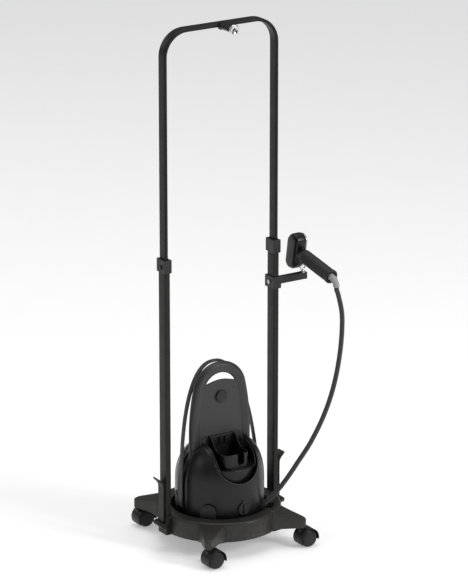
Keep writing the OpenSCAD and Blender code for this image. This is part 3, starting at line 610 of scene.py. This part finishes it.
# ------------------------------------------------------------------ posts
def tube_sleeve(side):
    p = Piece()
    x, hx, hy = side * 168.0, 8.0, 17.0
    out = rrect(hx, hy, 3.2, 6)
    # the bore lies round the sliding tube, not round the sleeve's own middle
    inn = [(u + side * 1.0, w) for u, w in rrect(4.8, 15.3, 1.2, 6)]
    rings = [[(x + u, w, z) for u, w in out] for z in (58.0, 300.0, 550.0, 799.0)]
    rings.append([(x + u * 0.985, w * 0.995, 800.0) for u, w in out])
    rings.append([(x + u, w, 800.0) for u, w in inn])
    rings.append([(x + u, w, 64.0) for u, w in inn])
    p.rings(rings)
    name = "sleeve_tube_" + ("r" if side > 0 else "l")
    p.build(name, "lever_paint", "stand", ("sleeve_" + ("r" if side > 0 else "l"),), sharp=45)


tube_sleeve(-1)
tube_sleeve(1)


def rail():
    p = Piece()
    x, z1, r = 169.0, 1415.0, 70.0
    cx, cz, mid = x + 4.5 - r, z1 - r, r - 4.5
    path = [(-x, 0, z) for z in (350, 600, 850, 1100, 1250)]
    path += [(-cx - mid * math.cos(math.radians(t)), 0, cz + mid * math.sin(math.radians(t)))
             for t in range(0, 91, 5)]
    path += [(-60, 0, z1 - 4.5), (0, 0, z1 - 4.5), (60, 0, z1 - 4.5)]
    path += [(cx + mid * math.cos(math.radians(t)), 0, cz + mid * math.sin(math.radians(t)))
             for t in range(90, -1, -5)]
    path += [(x, 0, z) for z in (1250, 1100, 850, 600, 350)]
    p.sweep(path, rrect(15.0, 4.5, 2.6, 6))
    p.build("rail_tube", "frame_paint", "rail", ("rail_frame",), sharp=50)


rail()


def peg():
    p = Piece()
    z = 1410.5
    prof = [(0.0, 12.0), (12.2, 12.0), (12.2, 14.4), (11.6, 15.4), (9.9, 16.2), (9.5, 17.2)]
    prof += [(9.5, 20.0 + 6 * i) for i in range(8)] + [(9.2, 69.6), (8.8, 70.0), (7.4, 70.0),
                                                       (7.4, 20.0), (0.0, 20.0)]
    p.revolve(prof, at=at(0, 0, z) @ AXIS_Y, n=48)
    p.build("peg_bar", "frame_paint", "rail", ("hanger_peg",))
    p = Piece()
    prof = [(0.0, 64.0), (7.3, 64.0), (7.3, 70.0), (12.6, 70.0)]
    for k in range(9):
        t = math.radians(180 * k / 8)
        prof.append((12.4 + 1.6 * math.sin(t) * 1.0, 73.4 - 3.2 * math.cos(t)))
    prof += [(10.6, 76.7), (8.0, 75.9), (6.2, 75.4), (5.2, 75.0), (4.6, 74.0), (4.6, 66.0),
             (0.0, 66.0)]
    p.revolve(prof, at=at(0, 0, z) @ AXIS_Y, n=56)
    p.build("peg_ring", "chrome", "rail", ("peg_cap",), sharp=45)


peg()


# ------------------------------------------------------------------ casters
def caster(i):
    sx = -1 if i in (1, 3) else 1
    sy = -1 if i <= 2 else 1
    x, y = sx * CASTER_X, sy * CASTER_Y
    hub = at(x + TRAIL, y, WHEEL_R)
    # fork with its hood
    p = Piece()
    sec = rrect(20.8, 0.9, 0.85, 4)
    arc = [(27.2 * math.cos(math.radians(t)), 0, 27.2 * math.sin(math.radians(t)))
           for t in range(-12, 214, 5)]
    p.sweep(arc, sec, at=hub)
    # solid web between the wheels, with the swivel boss over it
    web = [(26.4 * math.cos(math.radians(t)), 26.4 * math.sin(math.radians(t)))
           for t in range(-10, 211, 5)]
    rings = []
    for yy, s in ((-7.0, 0.97), (-6.2, 1.0), (6.2, 1.0), (7.0, 0.97)):
        rings.append([(u * s, yy, w * s) for u, w in web])
    p.rings(rings, at=hub)
    boss = [(0.0, 24.0), (6.8, 24.0), (6.8, 46.0), (9.5, 49.2), (9.5, 50.4)]
    boss += [(9.5 - 0.5 * k, 50.4 + 0.4 * k) for k in range(1, 5)]
    boss += [(6.2, 52.6), (6.2, 54.6), (4.0, 54.6), (4.0, 77.5), (3.4, 78.0), (0.0, 78.0)]
    p.revolve(boss, at=at(x, y, 0), n=36)
    p.build("caster_hood_%d" % i, "caster_plastic", "caster_%d" % i,
            ("caster_fork_%d" % i,), sharp=45)
    # two domed wheels
    p = Piece()
    for s in (-1, 1):
        prof = [(3.0, 7.5), (17.6, 7.5), (18.0, 8.4), (23.3, 8.5), (24.1, 9.0), (24.5, 9.8),
                (24.5, 13.6), (24.3, 14.6), (23.7, 15.5), (23.0, 16.4), (22.2, 17.4),
                (20.6, 18.6), (18.3, 19.6), (15.5, 20.4), (12.0, 21.0), (8.0, 21.35),
                (4.0, 21.5), (0.0, 21.5), (0.0, 17.6), (3.0, 17.6)]
        p.revolve(prof, at=hub @ (AXIS_Y if s < 0 else AXIS_Y @ Matrix.Rotation(math.pi, 4, "X")),
                  n=72)
    p.build("wheel_pair_%d" % i, "tread_plastic", "wheels_%d" % i,
            ("caster_wheels_%d" % i,), sharp=48)


for i in (1, 2, 3, 4):
    caster(i)


# ------------------------------------------------------------------ steamer body
def body_r(z):
    t = (z - WAIST_Z) / (BODY_TOP - WAIST_Z)
    if t <= 0:
        return BODY_R
    return BODY_R * max(0.0, 1 - t ** 2.3) ** 0.46


CUT_HALF, CUT_Z, CUT_DROP = 66.0, 245.0, 58.0


def cut_x(z, grow=0.0):
    """Half width of the front cut at a height."""
    h, d = CUT_HALF + grow, CUT_DROP + grow
    if z >= CUT_Z:
        return h
    if z <= CUT_Z - d:
        return 0.0
    return h * math.sqrt(1 - ((CUT_Z - z) / d) ** 2)


def front_r(z):
    t = max(0.0, (z - WAIST_Z) / (SHELL_TOP - WAIST_Z))
    return BODY_R * max(0.0, 1 - t ** 2.3) ** 0.3


def shell_pt(f, z, inset=0.0, plane=SHOULDER_Y):
    r = max(front_r(z) - inset, 20.0)
    t = f * (math.radians(90) + math.asin(plane / r))
    return Vector((r * math.sin(t), -r * math.cos(t), z))


def cut_top(f, grow=0.0, inset=0.0):
    lo, hi = CUT_Z - CUT_DROP - grow, SHELL_TOP - 1.0
    for _ in range(40):
        mid = (lo + hi) / 2
        if abs(shell_pt(f, mid, inset).x) > cut_x(mid, grow):
            lo = mid
        else:
            hi = mid
    return (lo + hi) / 2


def unit_shell():
    p = Piece()
    rows, turn = 30, 6.0
    fs = [-1 + 0.06 * (1 - math.cos(math.pi / 2 * k / 10)) for k in range(10)]
    fs += [-0.94 + 1.88 * k / 110 for k in range(111)]
    fs += [-f for f in reversed(fs[:10])]
    rings = []
    for f in fs:
        top = cut_top(f)
        out, inn = [], []
        for k in range(rows + 1):
            z = BODY_Z0 + (top - BODY_Z0) * (k / rows) ** 0.8
            edge = (1 - abs(f)) * math.pi / 2 * front_r(z)
            curl = turn - math.sqrt(turn ** 2 - max(0.0, turn - edge) ** 2)
            out.append(shell_pt(f, z, curl * 0.8))
            inn.append(shell_pt(f, z, max(WALL, curl * 0.8 + 0.4)))
        rings.append(out + inn[::-1])
    p.rings(rings)
    # recessed band behind each shoulder, where the hoop lies
    for side in (-1, 1):
        rings = []
        for k in range(13):
            y = SHOULDER_Y - 2 + (SPLIT_Y - SHOULDER_Y + 2) * k / 12
            out, inn = [], []
            for q in range(29):
                z = BODY_Z0 + (BAND_TOP - BODY_Z0) * (q / 28) ** 0.8
                r = body_r(z) - BAND_INSET
                out.append((side * math.sqrt(max(r * r - y * y, 1.0)), y, z))
                r -= WALL
                inn.append((side * math.sqrt(max(r * r - y * y, 1.0)), y, z))
            rings.append(out + inn[::-1])
        p.rings(rings)
    # raised bead round the cut
    path = [shell_pt(-1 + 2 * i / 160, cut_top(-1 + 2 * i / 160)) for i in range(161)]
    sec = [(1.9 * math.cos(2 * math.pi * k / 12), 2.2 * math.sin(2 * math.pi * k / 12))
           for k in range(12)]
    rings = []
    for i, q in enumerate(path):
        t = (path[min(i + 1, 160)] - path[max(i - 1, 0)]).normalized()
        o = Vector((q.x, q.y, 0)).normalized()
        o = (o - t * o.dot(t)).normalized()
        w = t.cross(o)
        c = q - o * 1.2
        rings.append([c + o * a_ + w * b_ for a_, b_ in sec])
    p.rings(rings)
    p.build("unit_shell_skin", "unit_plastic", "stand", ("unit_shell",), sharp=60)
    # base pan under it
    p = Piece()
    prof = [(0.0, 65.0), (BODY_R - 9, 65.0), (BODY_R - 4, 66.6), (BODY_R - 1.2, 69.5),
            (BODY_R - 0.2, 72.5), (BODY_R - 0.6, 75.2), (BODY_R - 1.4, 76.0), (0.0, 76.0)]
    p.revolve(prof, n=128)
    p.build("unit_pan", "unit_plastic", "stand", ("unit_base",), sharp=50)


unit_shell()


def unit_tank():
    p = Piece()
    n = 90
    zs = [78.4, 78.9, 79.8, 81.4, 84.0]
    zs += [84.0 + (WAIST_Z - 84.0) * k / 8 for k in range(1, 9)]
    zs += [WAIST_Z + (BODY_TOP - WAIST_Z) * (1 - (1 - k / 34) ** 2) for k in range(1, 34)]
    rings = []
    for z in zs:
        r = body_r(z) - 0.2
        i0 = 4.6 * max(0.0, 1 - (z - 78.4) / 5.6) ** 2
        r -= i0
        if r < 24:
            break
        lim = math.pi / 2 - math.asin((TANK_Y + 1.6) / r)
        ring = [(r * math.sin(-lim + 2 * lim * k / n), r * math.cos(-lim + 2 * lim * k / n), z)
                for k in range(n + 1)]
        # softened vertical edges, then the flat front face
        xe = ring[-1][0]
        ring += [(xe - 0.5, TANK_Y + 0.5, z), (xe - 1.5, TANK_Y, z)]
        ring += [(xe * s, TANK_Y, z) for s in (0.6, 0.2, -0.2, -0.6)]
        ring += [(-xe + 1.5, TANK_Y, z), (-xe + 0.5, TANK_Y + 0.5, z)]
        rings.append(ring)
    p.rings(rings)
    # a bead down each side of the back
    for s in (-1, 1):
        path = []
        for k in range(15):
            z = 100 + 150 * k / 14
            r = body_r(z) + 0.1
            t = math.radians(s * (28 + 4 * math.sin(math.pi * k / 14)))
            path.append((r * math.sin(t), r * math.cos(t), z))
        p.sweep(path, circle(1.3, 8), side=(math.sin(math.radians(28 * s)),
                                            math.cos(math.radians(28 * s)), 0))
    p.build("tank_skin", "tank_plastic", "tank", ("tank_body",), sharp=50)
    # catch on the left side
    p = Piece()
    c = Matrix.Rotation(math.radians(168), 4, "Z") @ at(BODY_R, 0, 128)
    rounded_block(p, 3.0, 9.0, -24, 18, 2.4, 1.6, at=c)
    rounded_block(p, 4.6, 7.0, 10, 17, 2.4, 1.6, at=c)
    p.build("tank_catch", "trim_plastic", "tank", (), sharp=50)


unit_tank()


def hoop():
    p = Piece()
    half = []
    n = 60
    for i in range(n + 1):
        t = 1 - (1 - i / n) ** 2
        half.append(Vector(((BODY_R + 0.6 - 2) * max(0.0, 1 - t ** 1.8) ** 0.42, 15.0,
                            WAIST_Z + (492.0 - WAIST_Z) * t)))
    path = [Vector((BODY_R - 1.4, HOOP_Y, z)) for z in (110, 125, 140, 155)]
    for q in half:
        up_z = max(0.0, q.z - HOOP_BEND_Z)
        path.append(Vector((q.x, HOOP_Y + up_z * math.sin(HOOP_LEAN),
                            q.z - up_z * (1 - math.cos(HOOP_LEAN)))))
    p.sweep(mirrored(path), rrect(7.5, 2.0, 1.3, 4))
    for side in (-1, 1):
        rounded_block(p, 2.0, 6.6, 110, 150, 1.3, 1.2, at=at(side * (BODY_R - 1.4), 15.4, 0))
    p.build("hoop_strap", "plate_plastic", "tank", ("tank_hoop",), sharp=50)


hoop()


def tank_cap():
    p = Piece()
    z0 = 277.2
    n = 120
    prof = [(0.0, 0.0), (22.6, 0.0), (23.4, 0.5), (23.8, 1.5), (23.8, 8.8), (23.2, 10.2),
            (21.8, 11.0), (18.2, 11.2), (17.8, 12.6), (16.8, 13.8), (15.0, 14.0), (0.0, 13.4)]
    rings = []
    for i in range(n):
        a_ = 2 * math.pi * i / n
        flute = 1 - 0.045 * max(0.0, math.cos(a_ * 12)) ** 2
        ring = []
        for r, z in prof:
            k = flute if r > 21 and z < 10.5 else 1.0
            ring.append((r * k * math.cos(a_), r * k * math.sin(a_), z0 + z))
        rings.append(ring)
    p.rings(rings, at=at(0, 50, 0), caps=(False, False), closed=False, loop=True)
    p.build("tank_cap_knob", "trim_plastic", "cap", ("tank_cap",), sharp=40)


tank_cap()


# ------------------------------------------------------------------ back plate
def flat_part(loops, thick, edge, res=3):
    """Vertices and faces of a plate in XY with rounded edges; later loops are holes."""
    cu = bpy.data.curves.new("outline", "CURVE")
    cu.dimensions = "2D"
    cu.fill_mode = "BOTH"
    cu.extrude = thick / 2 - edge
    cu.bevel_depth = edge
    cu.bevel_resolution = res
    cu.offset = -edge
    for loop in loops:
        sp = cu.splines.new("POLY")
        sp.points.add(len(loop) - 1)
        for k, q in enumerate(loop):
            sp.points[k].co = (q[0], q[1], 0.0, 1.0)
        sp.use_cyclic_u = True
    o = bpy.data.objects.new("outline", cu)
    bpy.context.scene.collection.objects.link(o)
    me = bpy.data.meshes.new_from_object(o.evaluated_get(bpy.context.evaluated_depsgraph_get()))
    vs = [tuple(q.co) for q in me.vertices]
    fs = [tuple(q.vertices) for q in me.polygons]
    bpy.data.objects.remove(o)
    bpy.data.curves.remove(cu)
    bpy.data.meshes.remove(me)
    return vs, fs


def arch():
    r0, half, z0, top = 600.0, 81.5, 300.0, 484.0
    a_, h = r0 - half, top - z0
    r1 = (r0 * r0 - a_ * a_ - h * h) / (2 * (r0 - h))
    zc = top - r1
    phi = math.asin((zc - z0) / (r0 - r1))
    return r0, half, z0, r1, zc, phi


def arch_path(z_low=245.0):
    r0, half, z0, r1, zc, phi = arch()
    pts = [(half, z_low), (half, 262.0), (half, 281.0), (half, z0)]
    for i in range(1, 9):
        t = phi * i / 8
        pts.append((half - r0 + r0 * math.cos(t), z0 + r0 * math.sin(t)))
    m = 28
    for i in range(1, m + 1):
        t = phi + (math.pi / 2 - phi) * i / m
        pts.append((r1 * math.cos(t), zc + r1 * math.sin(t)))
    return pts


def arch_half(z):
    r0, half, z0, r1, zc, phi = arch()
    if z <= z0:
        return half
    if z <= z0 + r0 * math.sin(phi):
        return half - r0 + math.sqrt(r0 * r0 - (z - z0) ** 2)
    return math.sqrt(max(r1 * r1 - (z - zc) ** 2, 0.0))


SCREWS = [(40, 421), (-40, 421), (55, 290), (-55, 290)]


def back_plate():
    p = Piece()
    path = mirrored([Vector((x, 0, z)) for x, z in arch_path()])
    p.sweep(path, circle(RIM_R, 32))
    # soft shoulder running from the rim into the panel
    soft = [(-3.4 + 7.0 * math.cos(2 * math.pi * k / 28), 5 + 13.5 * math.sin(2 * math.pi * k / 28))
            for k in range(28)]
    p.sweep(path, soft)
    top = 440.0
    w = arch_half(top)
    side = [(arch_half(z), z) for z in (246, 270, 300, 320, 340, 360, 380, 400, 415, 430)]
    edge = []
    for i in range(0, 41):
        x = w * (1 - i / 20)
        edge.append((x, top + 7 * math.cos(math.radians(min(180, abs(x) * 90 / (0.62 * w))))))
    loop = side + edge + [(-x, z) for x, z in reversed(side)]
    holes = [hole(sx, sz, 2.6, 16) for sx, sz in SCREWS]
    p.flat([loop] + holes, 6.0, 1.0, at=at(0, -4.5, 0) @ UPRIGHT)
    p.build("carry_plate", "plate_plastic", "stand", ("back_plate",), sharp=45)
    # round badge, plain
    p = Piece()
    prof = [(0.0, -5.5), (12.0, -5.5), (12.0, -7.4), (16.9, -7.4), (17.0, -8.4), (16.9, -11.4),
            (16.4, -12.7), (15.4, -13.5), (14.0, -13.9), (13.4, -13.8), (12.8, -13.9),
            (9.0, -14.25), (4.0, -14.45), (0.0, -14.5)]
    p.revolve([(r, -z) for r, z in prof], at=at(0, 0, BADGE_Z) @ AXIS_Y, n=64)
    p.build("badge_disc", "trim_plastic", "stand", ("plate_badge",), sharp=50)


back_plate()


# ------------------------------------------------------------------ cradle cup
def stadium(cx, cy, hx, hy, n=10, turn=1):
    r = min(hx, hy)
    pts = arc(cx, cy + hy - r, r, 0, 180, n) + arc(cx, cy - hy + r, r, 180, 360, n)
    return pts if turn > 0 else pts[::-1]


def cup_top(y):
    knots = [(-200, 259), (-89, 260.5), (-60, 262), (-52, 263.5), (-46, 266), (-40, 269.8),
             (-34, 275.5), (-28, 282.5), (-23, 288), (-19, 291.5), (-15, 293.6), (-11, 294),
             (0, 294)]
    for (y0, z0), (y1, z1) in zip(knots, knots[1:]):
        if y <= y1:
            f = (y - y0) / (y1 - y0)
            return z0 + (z1 - z0) * f
    return 294.0


def cradle():
    p = Piece()
    half, front, c, c2, w = 39.0, 89.0, 24.0, 14.0, 3.0
    nx, nz, nr = 12.0, 241.0, 11.4
    # centre line of the wall in plan, from the back left to the back right
    m = w / 2
    sides = (-9, -12, -15, -18, -21, -24, -27, -30, -34, -38, -42, -46, -52, -58)
    plan = [(-half + m, y) for y in sides]
    for k in range(0, 13):
        t = math.radians(180 + 90 * k / 12)
        plan.append((-half + c + (c - m) * math.cos(t), -front + c + (c - m) * math.sin(t)))
    plan += [(-12, -front + m), (-8, -front + m), (-4, -front + m), (-1.5, -front + m)]
    notch0 = len(plan)
    plan += [(nx + nr * math.cos(math.radians(t)), -front + m) for t in range(180, 361, 10)]
    notch1 = len(plan)
    plan += [(24.6, -front + m)]
    for k in range(1, 10):
        t = math.radians(270 + 90 * k / 9)
        plan.append((half - c2 + (c2 - m) * math.cos(t), -front + c2 + (c2 - m) * math.sin(t)))
    plan += [(half - m, y) for y in (-70, -64) + sides[::-1]]
    tops = []
    for i, (x, y) in enumerate(plan):
        z = cup_top(y)
        if notch0 <= i < notch1:
            f = (i - notch0) / (notch1 - 1 - notch0)
            z = nz - nr * math.sin(math.pi * f)
            if i in (notch0, notch1 - 1):
                z = 258.0
        tops.append(z)
    rings = []
    for i, (x, y) in enumerate(plan):
        q0 = plan[max(i - 1, 0)]
        q1 = plan[min(i + 1, len(plan) - 1)]
        t = Vector((q1[0] - q0[0], q1[1] - q0[1], 0))
        if t.length < 1e-6:
            t = Vector((1, 0, 0))
        t.normalize()
        nn = Vector((t.y, -t.x, 0)) * m
        z = tops[i] - 1.2
        b = Vector((x, y, 0))
        rings.append([b + nn + Vector((0, 0, 200)), b + nn + Vector((0, 0, z)),
                      b - nn + Vector((0, 0, z)), b - nn + Vector((0, 0, 200))])
    p.rings(rings)
    # rounded lip along the whole top edge, down into the notch and out again
    lip = []
    for i, (x, y) in enumerate(plan):
        if i == notch0:
            lip += [(x, y, z) for z in (261.5, 256.0, 250.0, 244.0)]
        elif i == notch1 - 1:
            lip += [(x, y, z) for z in (244.0, 250.0, 256.0, 263.0)]
        else:
            lip.append((x, y, tops[i] - 1.2))
    p.bead(catmull(lip, 3), 1.95)
    # back wall with two slots
    loop = [(-39, 222), (39, 222), (39, 291)]
    loop += arc(36, 291, 3, 15, 90, 5) + arc(-36, 291, 3, 90, 180, 6)
    slots = [stadium(x, 275.5, 4.2, 12.0, turn=-1) for x in (-10, 6)]
    p.flat([loop] + slots, 4.5, 1.2, at=at(0, -10.7, 0) @ UPRIGHT)
    # ledge drum in front
    ledge = [(0.0, 219.0), (101.0, 219.0), (101.0, 168.0), (104.0, 168.0), (104.0, 219.6)]
    ledge += [(104.0 - 2.6 * (1 - math.cos(math.radians(t))), 219.6 + 2.6 * math.sin(math.radians(t)))
              for t in range(15, 91, 15)]
    ledge += [(90.0, 222.2), (0.0, 222.2)]
    p.revolve(ledge, n=96, a0=192.3, a1=347.7, loop=True)
    rounded_block(p, 64.0, 7.0, 219.0, 222.0, 1.0, 0.6, at=at(0, -16.0, 0))
    # liner following the shell, ending in a rounded lip
    for s in (-1, 1):
        rings, lipline = [], []
        n = 40
        for i in range(n + 1):
            f = s * (0.30 + 0.68 * i / n)
            lo = LEDGE_Z
            hi = max(cut_top(f, -5.5, 6.0), lo + 1.0)
            col_o = [shell_pt(f, lo + (hi - lo) * k / 8, 5.6, -22.0) for k in range(9)]
            col_i = [shell_pt(f, lo + (hi - lo) * k / 8, 8.2, -22.0) for k in range(9)]
            rings.append(col_o + col_i[::-1])
            lipline.append((col_o[-1] + col_i[-1]) / 2)
        p.rings(rings)
        p.bead(lipline, 1.7)
    p.build("cradle_cup", "unit_plastic", "stand", ("cup_insert",), sharp=50)
    # painted shade: a near-black fill set into the slots, standing in for the shadow inside them
    p = Piece()
    for x in (-10, 6):
        p.flat([stadium(x, 275.5, 4.4, 12.2)], 0.8, 0.3, 1, at=at(0, -9.4, 0) @ UPRIGHT)
    p.build("slot_painted_shade", "dark_gap", "stand", (), sharp=50)


cradle()


# ------------------------------------------------------------------ front fittings
def pedal():
    p = Piece()
    d = BODY_R + 2.6
    zt, hw = 114.0, 22.0
    loop = [(-hw, 88.0), (hw, 88.0)]
    loop += arc(0, zt, hw, 0, 180, 20)
    turn = Matrix.Rotation(math.radians(-46), 4, "Z")
    p.flat([loop], 4.5, 1.5, 4, at=turn @ at(0, -d - 2.25, 0) @ UPRIGHT)
    # shallow raised field
    field = [(x * 0.78, 92 + (z - 88) * 0.86) for x, z in loop]
    p.flat([field], 1.2, 0.5, 2, at=turn @ at(0, -d - 4.5, 0) @ UPRIGHT)
    p.revolve(disc_profile(5.0, -18, 1, 0.5), at=turn @ at(0, -d, zt) @ AXIS_Y, n=24)
    p.build("pedal_tab", "trim_plastic", "pedal", ("power_pedal",), sharp=40)


pedal()


def drain():
    p = Piece()
    d = BODY_R + 0.4
    z = 118.0
    prof = [(0.0, -16.0), (8.6, -16.0), (9.0, -15.6), (9.0, 0.0), (17.0, 0.0), (17.5, 0.6),
            (17.5, 2.6), (17.0, 3.5), (16.0, 4.0), (14.8, 3.9), (14.2, 3.4), (13.0, 3.3),
            (0.0, 3.6)]
    p.revolve(prof, at=at(0, -d, z) @ AXIS_Y, n=56)
    rounded_block(p, 1.7, 2.6, -14.6, 14.6, 0.9, 0.8, at=at(0, -d - 4.4, z))
    rounded_block(p, 4.8, 2.0, 14.0, 22.6, 1.2, 1.4, at=at(0, -d - 2.0, z))
    p.build("drain_disc", "trim_plastic", "drain", ("drain_plug",), sharp=40)


drain()


# ------------------------------------------------------------------ handset
def handset():
    # grip with fine ribs
    p = Piece()
    prof = [(0.0, 0.0), (GRIP_R - 3.2, 0.0), (GRIP_R - 1.8, 0.4), (GRIP_R - 0.6, 1.4),
            (GRIP_R - 0.1, 3.0), (GRIP_R, 6.0)]
    y = 10.0
    while y < GRIP_LEN - 8:
        swell = 0.5 * math.sin(math.pi * (y - 10) / (GRIP_LEN - 18))
        prof += [(GRIP_R - 0.75 + swell * 0.4, y), (GRIP_R - 0.1 + swell * 0.4, y + 0.5),
                 (GRIP_R + swell * 0.4, y + 1.0), (GRIP_R - 0.1 + swell * 0.4, y + 1.5),
                 (GRIP_R - 0.75 + swell * 0.4, y + 2.0)]
        y += 2.6
    prof += [(GRIP_R - 0.2, GRIP_LEN - 6), (GRIP_R, GRIP_LEN - 5), (GRIP_R, GRIP_LEN - 0.5),
             (GRIP_R - 0.5, GRIP_LEN), (0.0, GRIP_LEN)]
    p.revolve(prof, at=HAND @ AXIS_Y, n=64)
    p.build("grip_sleeve", "grip_rubber", "stand", ("handset_grip",), sharp=70)
    # end ring
    p = Piece()
    a0, a1 = GRIP_LEN, GRIP_LEN + RING_LEN
    prof = [(0.0, a0), (18.6, a0), (19.3, a0 + 0.5), (19.5, a0 + 1.4), (19.5, a1 - 1.8),
            (19.0, a1 - 0.7), (18.0, a1), (14.4, a1), (13.4, a1 - 0.5), (13.0, a1 - 1.5),
            (13.0, a0 + 2.5), (0.0, a0 + 2.5)]
    p.revolve(prof, at=HAND @ AXIS_Y, n=64)
    p.build("grip_end_ring", "trim_plastic", "stand", ("handset_ring",), sharp=45)
    # neck
    p = Piece()
    prof = [(0.0, 0.3), (17.0, 0.3), (16.7, -2.5), (16.2, -5.0), (16.2, -9.0), (16.7, -11.5),
            (17.0, -14.0), (0.0, -14.0)]
    p.revolve(prof, at=HAND @ AXIS_Y, n=56)
    p.build("handset_collar", "unit_plastic", "stand", ("handset_neck",), sharp=50)
    # steam head
    p = Piece()
    turn = HAND @ at(0, 36, 0)
    loop = stadium(0, 0, 22, 50, 18)
    face = Matrix.Rotation(math.radians(90), 4, "Z") @ Matrix.Rotation(math.radians(90), 4, "X")
    p.flat([loop], 32.0, 7.0, 6, at=turn @ at(-2, 0, 0) @ face)
    p.flat([stadium(0, 0, 17, 45, 18)], 4.4, 1.8, 4, at=turn @ at(-19.8, 0, 0) @ face)
    p.build("head_shell", "unit_plastic", "stand", ("head_housing",), sharp=50)
    # steam plate with its holes
    p = Piece()
    holes = [hole(0, z, 1.6, 12) for z in range(-36, 37, 12)]
    holes += [hole(x, z, 1.6, 12) for z in range(-30, 31, 12) for x in (-9, 9)]
    p.flat([stadium(0, 0, 19, 47, 18)] + holes, 4.0, 0.7, 2, at=turn @ at(16, 0, 0) @ face)
    p.build("head_sole", "steel", "stand", ("head_plate",), sharp=40)
    # ribbed boot, bending down to the hose
    p = Piece()
    line_b = [Vector((0, y_, 0)) for y_ in (-GRIP_LEN - 2.5, -GRIP_LEN - 5, -GRIP_LEN - 8)]
    line_b.append(Vector((0, boot_y, 0)))
    for k in range(1, 31):
        t = boot_turn * k / 30
        line_b.append(Vector((0, boot_y - boot_bend * math.sin(t),
                              -boot_bend * (1 - math.cos(t)))))
    dense = catmull(line_b, 3)
    run_b = 0.0
    rings = []
    for i, q in enumerate(dense):
        t = (dense[min(i + 1, len(dense) - 1)] - dense[max(i - 1, 0)]).normalized()
        if i:
            run_b += (q - dense[i - 1]).length
        u = Vector((1, 0, 0))
        v = t.cross(u)
        rib = 0.5 - 0.5 * math.cos(2 * math.pi * run_b / 4.4)
        r = 7.4 + 1.5 * (1.0 if rib > 0.55 else rib / 0.55) ** 2
        if i >= len(dense) - 4:
            r = 7.4
        rings.append([q + u * (r * math.cos(2 * math.pi * k / 28))
                      + v * (r * math.sin(2 * math.pi * k / 28)) for k in range(28)])
    p.rings(rings, at=HAND)
    p.build("hose_boot", "boot_rubber", "stand", ("strain_relief",), sharp=60)


handset()


def hook():
    p = Piece()
    x, top = 262.0, 699.0
    prof = [(0.0, 690.0), (2.5, 690.0), (2.5, 699.0), (7.4, 699.0), (8.0, 699.5), (8.0, 700.9),
            (7.3, 701.4), (4.0, 701.8), (3.1, 702.6), (3.0, 707.0), (0.0, 708.0)]
    p.revolve(prof, at=at(x, 0, 0), n=36)
    rings = []
    for i in range(48):
        t = 2 * math.pi * i / 48
        c = Vector((7 * math.cos(t), 0, 7 * math.sin(t)))
        o = c.normalized()
        rings.append([c + o * a_ + Vector((0, b_, 0)) for a_, b_ in circle(2.4, 16)])
    p.rings(rings, at=at(x, 0, top + 15.4), loop=True)
    p.build("hook_eye", "chrome", "stand", ("holder_hook",), sharp=50)


hook()

# ------------------------------------------------------------------ stage and light
M["floor"] = plastic("studio_floor", (0.90, 0.90, 0.90), (0.88, 0.88, 0.88), rough=(0.75, 0.85),
                     grain=40.0, grain_h=0.0002, spec=0.1, scuffs=0.05)
shade = M["floor"].node_tree.nodes["Principled BSDF"]
shade.inputs["Emission Color"].default_value = (1, 1, 1, 1)
shade.inputs["Emission Strength"].default_value = FLOOR_GLOW
me = bpy.data.meshes.new("studio_floor")
R_FLOOR = 18.0
N_FLOOR = 64
me.from_pydata([(R_FLOOR * math.cos(2 * math.pi * i / N_FLOOR),
                 R_FLOOR * math.sin(2 * math.pi * i / N_FLOOR), 0.0) for i in range(N_FLOOR)], [],
               [tuple(range(N_FLOOR))])
me.materials.append(M["floor"])
floor = bpy.data.objects.new("studio_floor", me)
bpy.context.scene.collection.objects.link(floor)


def area(name, loc, aim, size, size_y, watts, tint=(1, 1, 1)):
    d = bpy.data.lights.new(name, "AREA")
    d.shape = "RECTANGLE"
    d.size = size
    d.size_y = size_y
    d.energy = watts
    d.color = tint
    o = bpy.data.objects.new(name, d)
    o.location = loc
    o.rotation_euler = (Vector(aim) - Vector(loc)).to_track_quat("-Z", "Y").to_euler()
    bpy.context.scene.collection.objects.link(o)


area("key", (2.4, -4.2, 2.9), (0, 0, 0.4), 1.1, 1.6, 110)
area("left", (-4.4, 0.2, 2.2), (0, 0, 0.5), 1.0, 2.4, 15)
area("top", (0.2, 0.2, 5.0), (0, 0, 0.4), 2.6, 2.6, 66)
area("rear", (-1.6, 4.6, 2.6), (0, 0, 0.6), 2.4, 2.0, 22)

world = bpy.data.worlds.new("studio")
bpy.context.scene.world = world
world.use_nodes = True
wt = world.node_tree
bg = wt.nodes["Background"]
sky = node(wt, "ShaderNodeSeparateXYZ")
dirs = node(wt, "ShaderNodeTexCoord")
wt.links.new(dirs.outputs["Generated"], sky.inputs[0])
height = ramp(wt, sky.outputs[2], 0.15, 0.9, 0.0, 1.0)
wt.links.new(mix(wt, height, (0.10, 0.102, 0.105), (0.75, 0.75, 0.75)), bg.inputs[0])
bg.inputs[1].default_value = 0.7
bpy.context.scene.view_settings.view_transform = "Standard"
bpy.context.scene.view_settings.look = "None"
bpy.context.scene.view_settings.exposure = 0.0
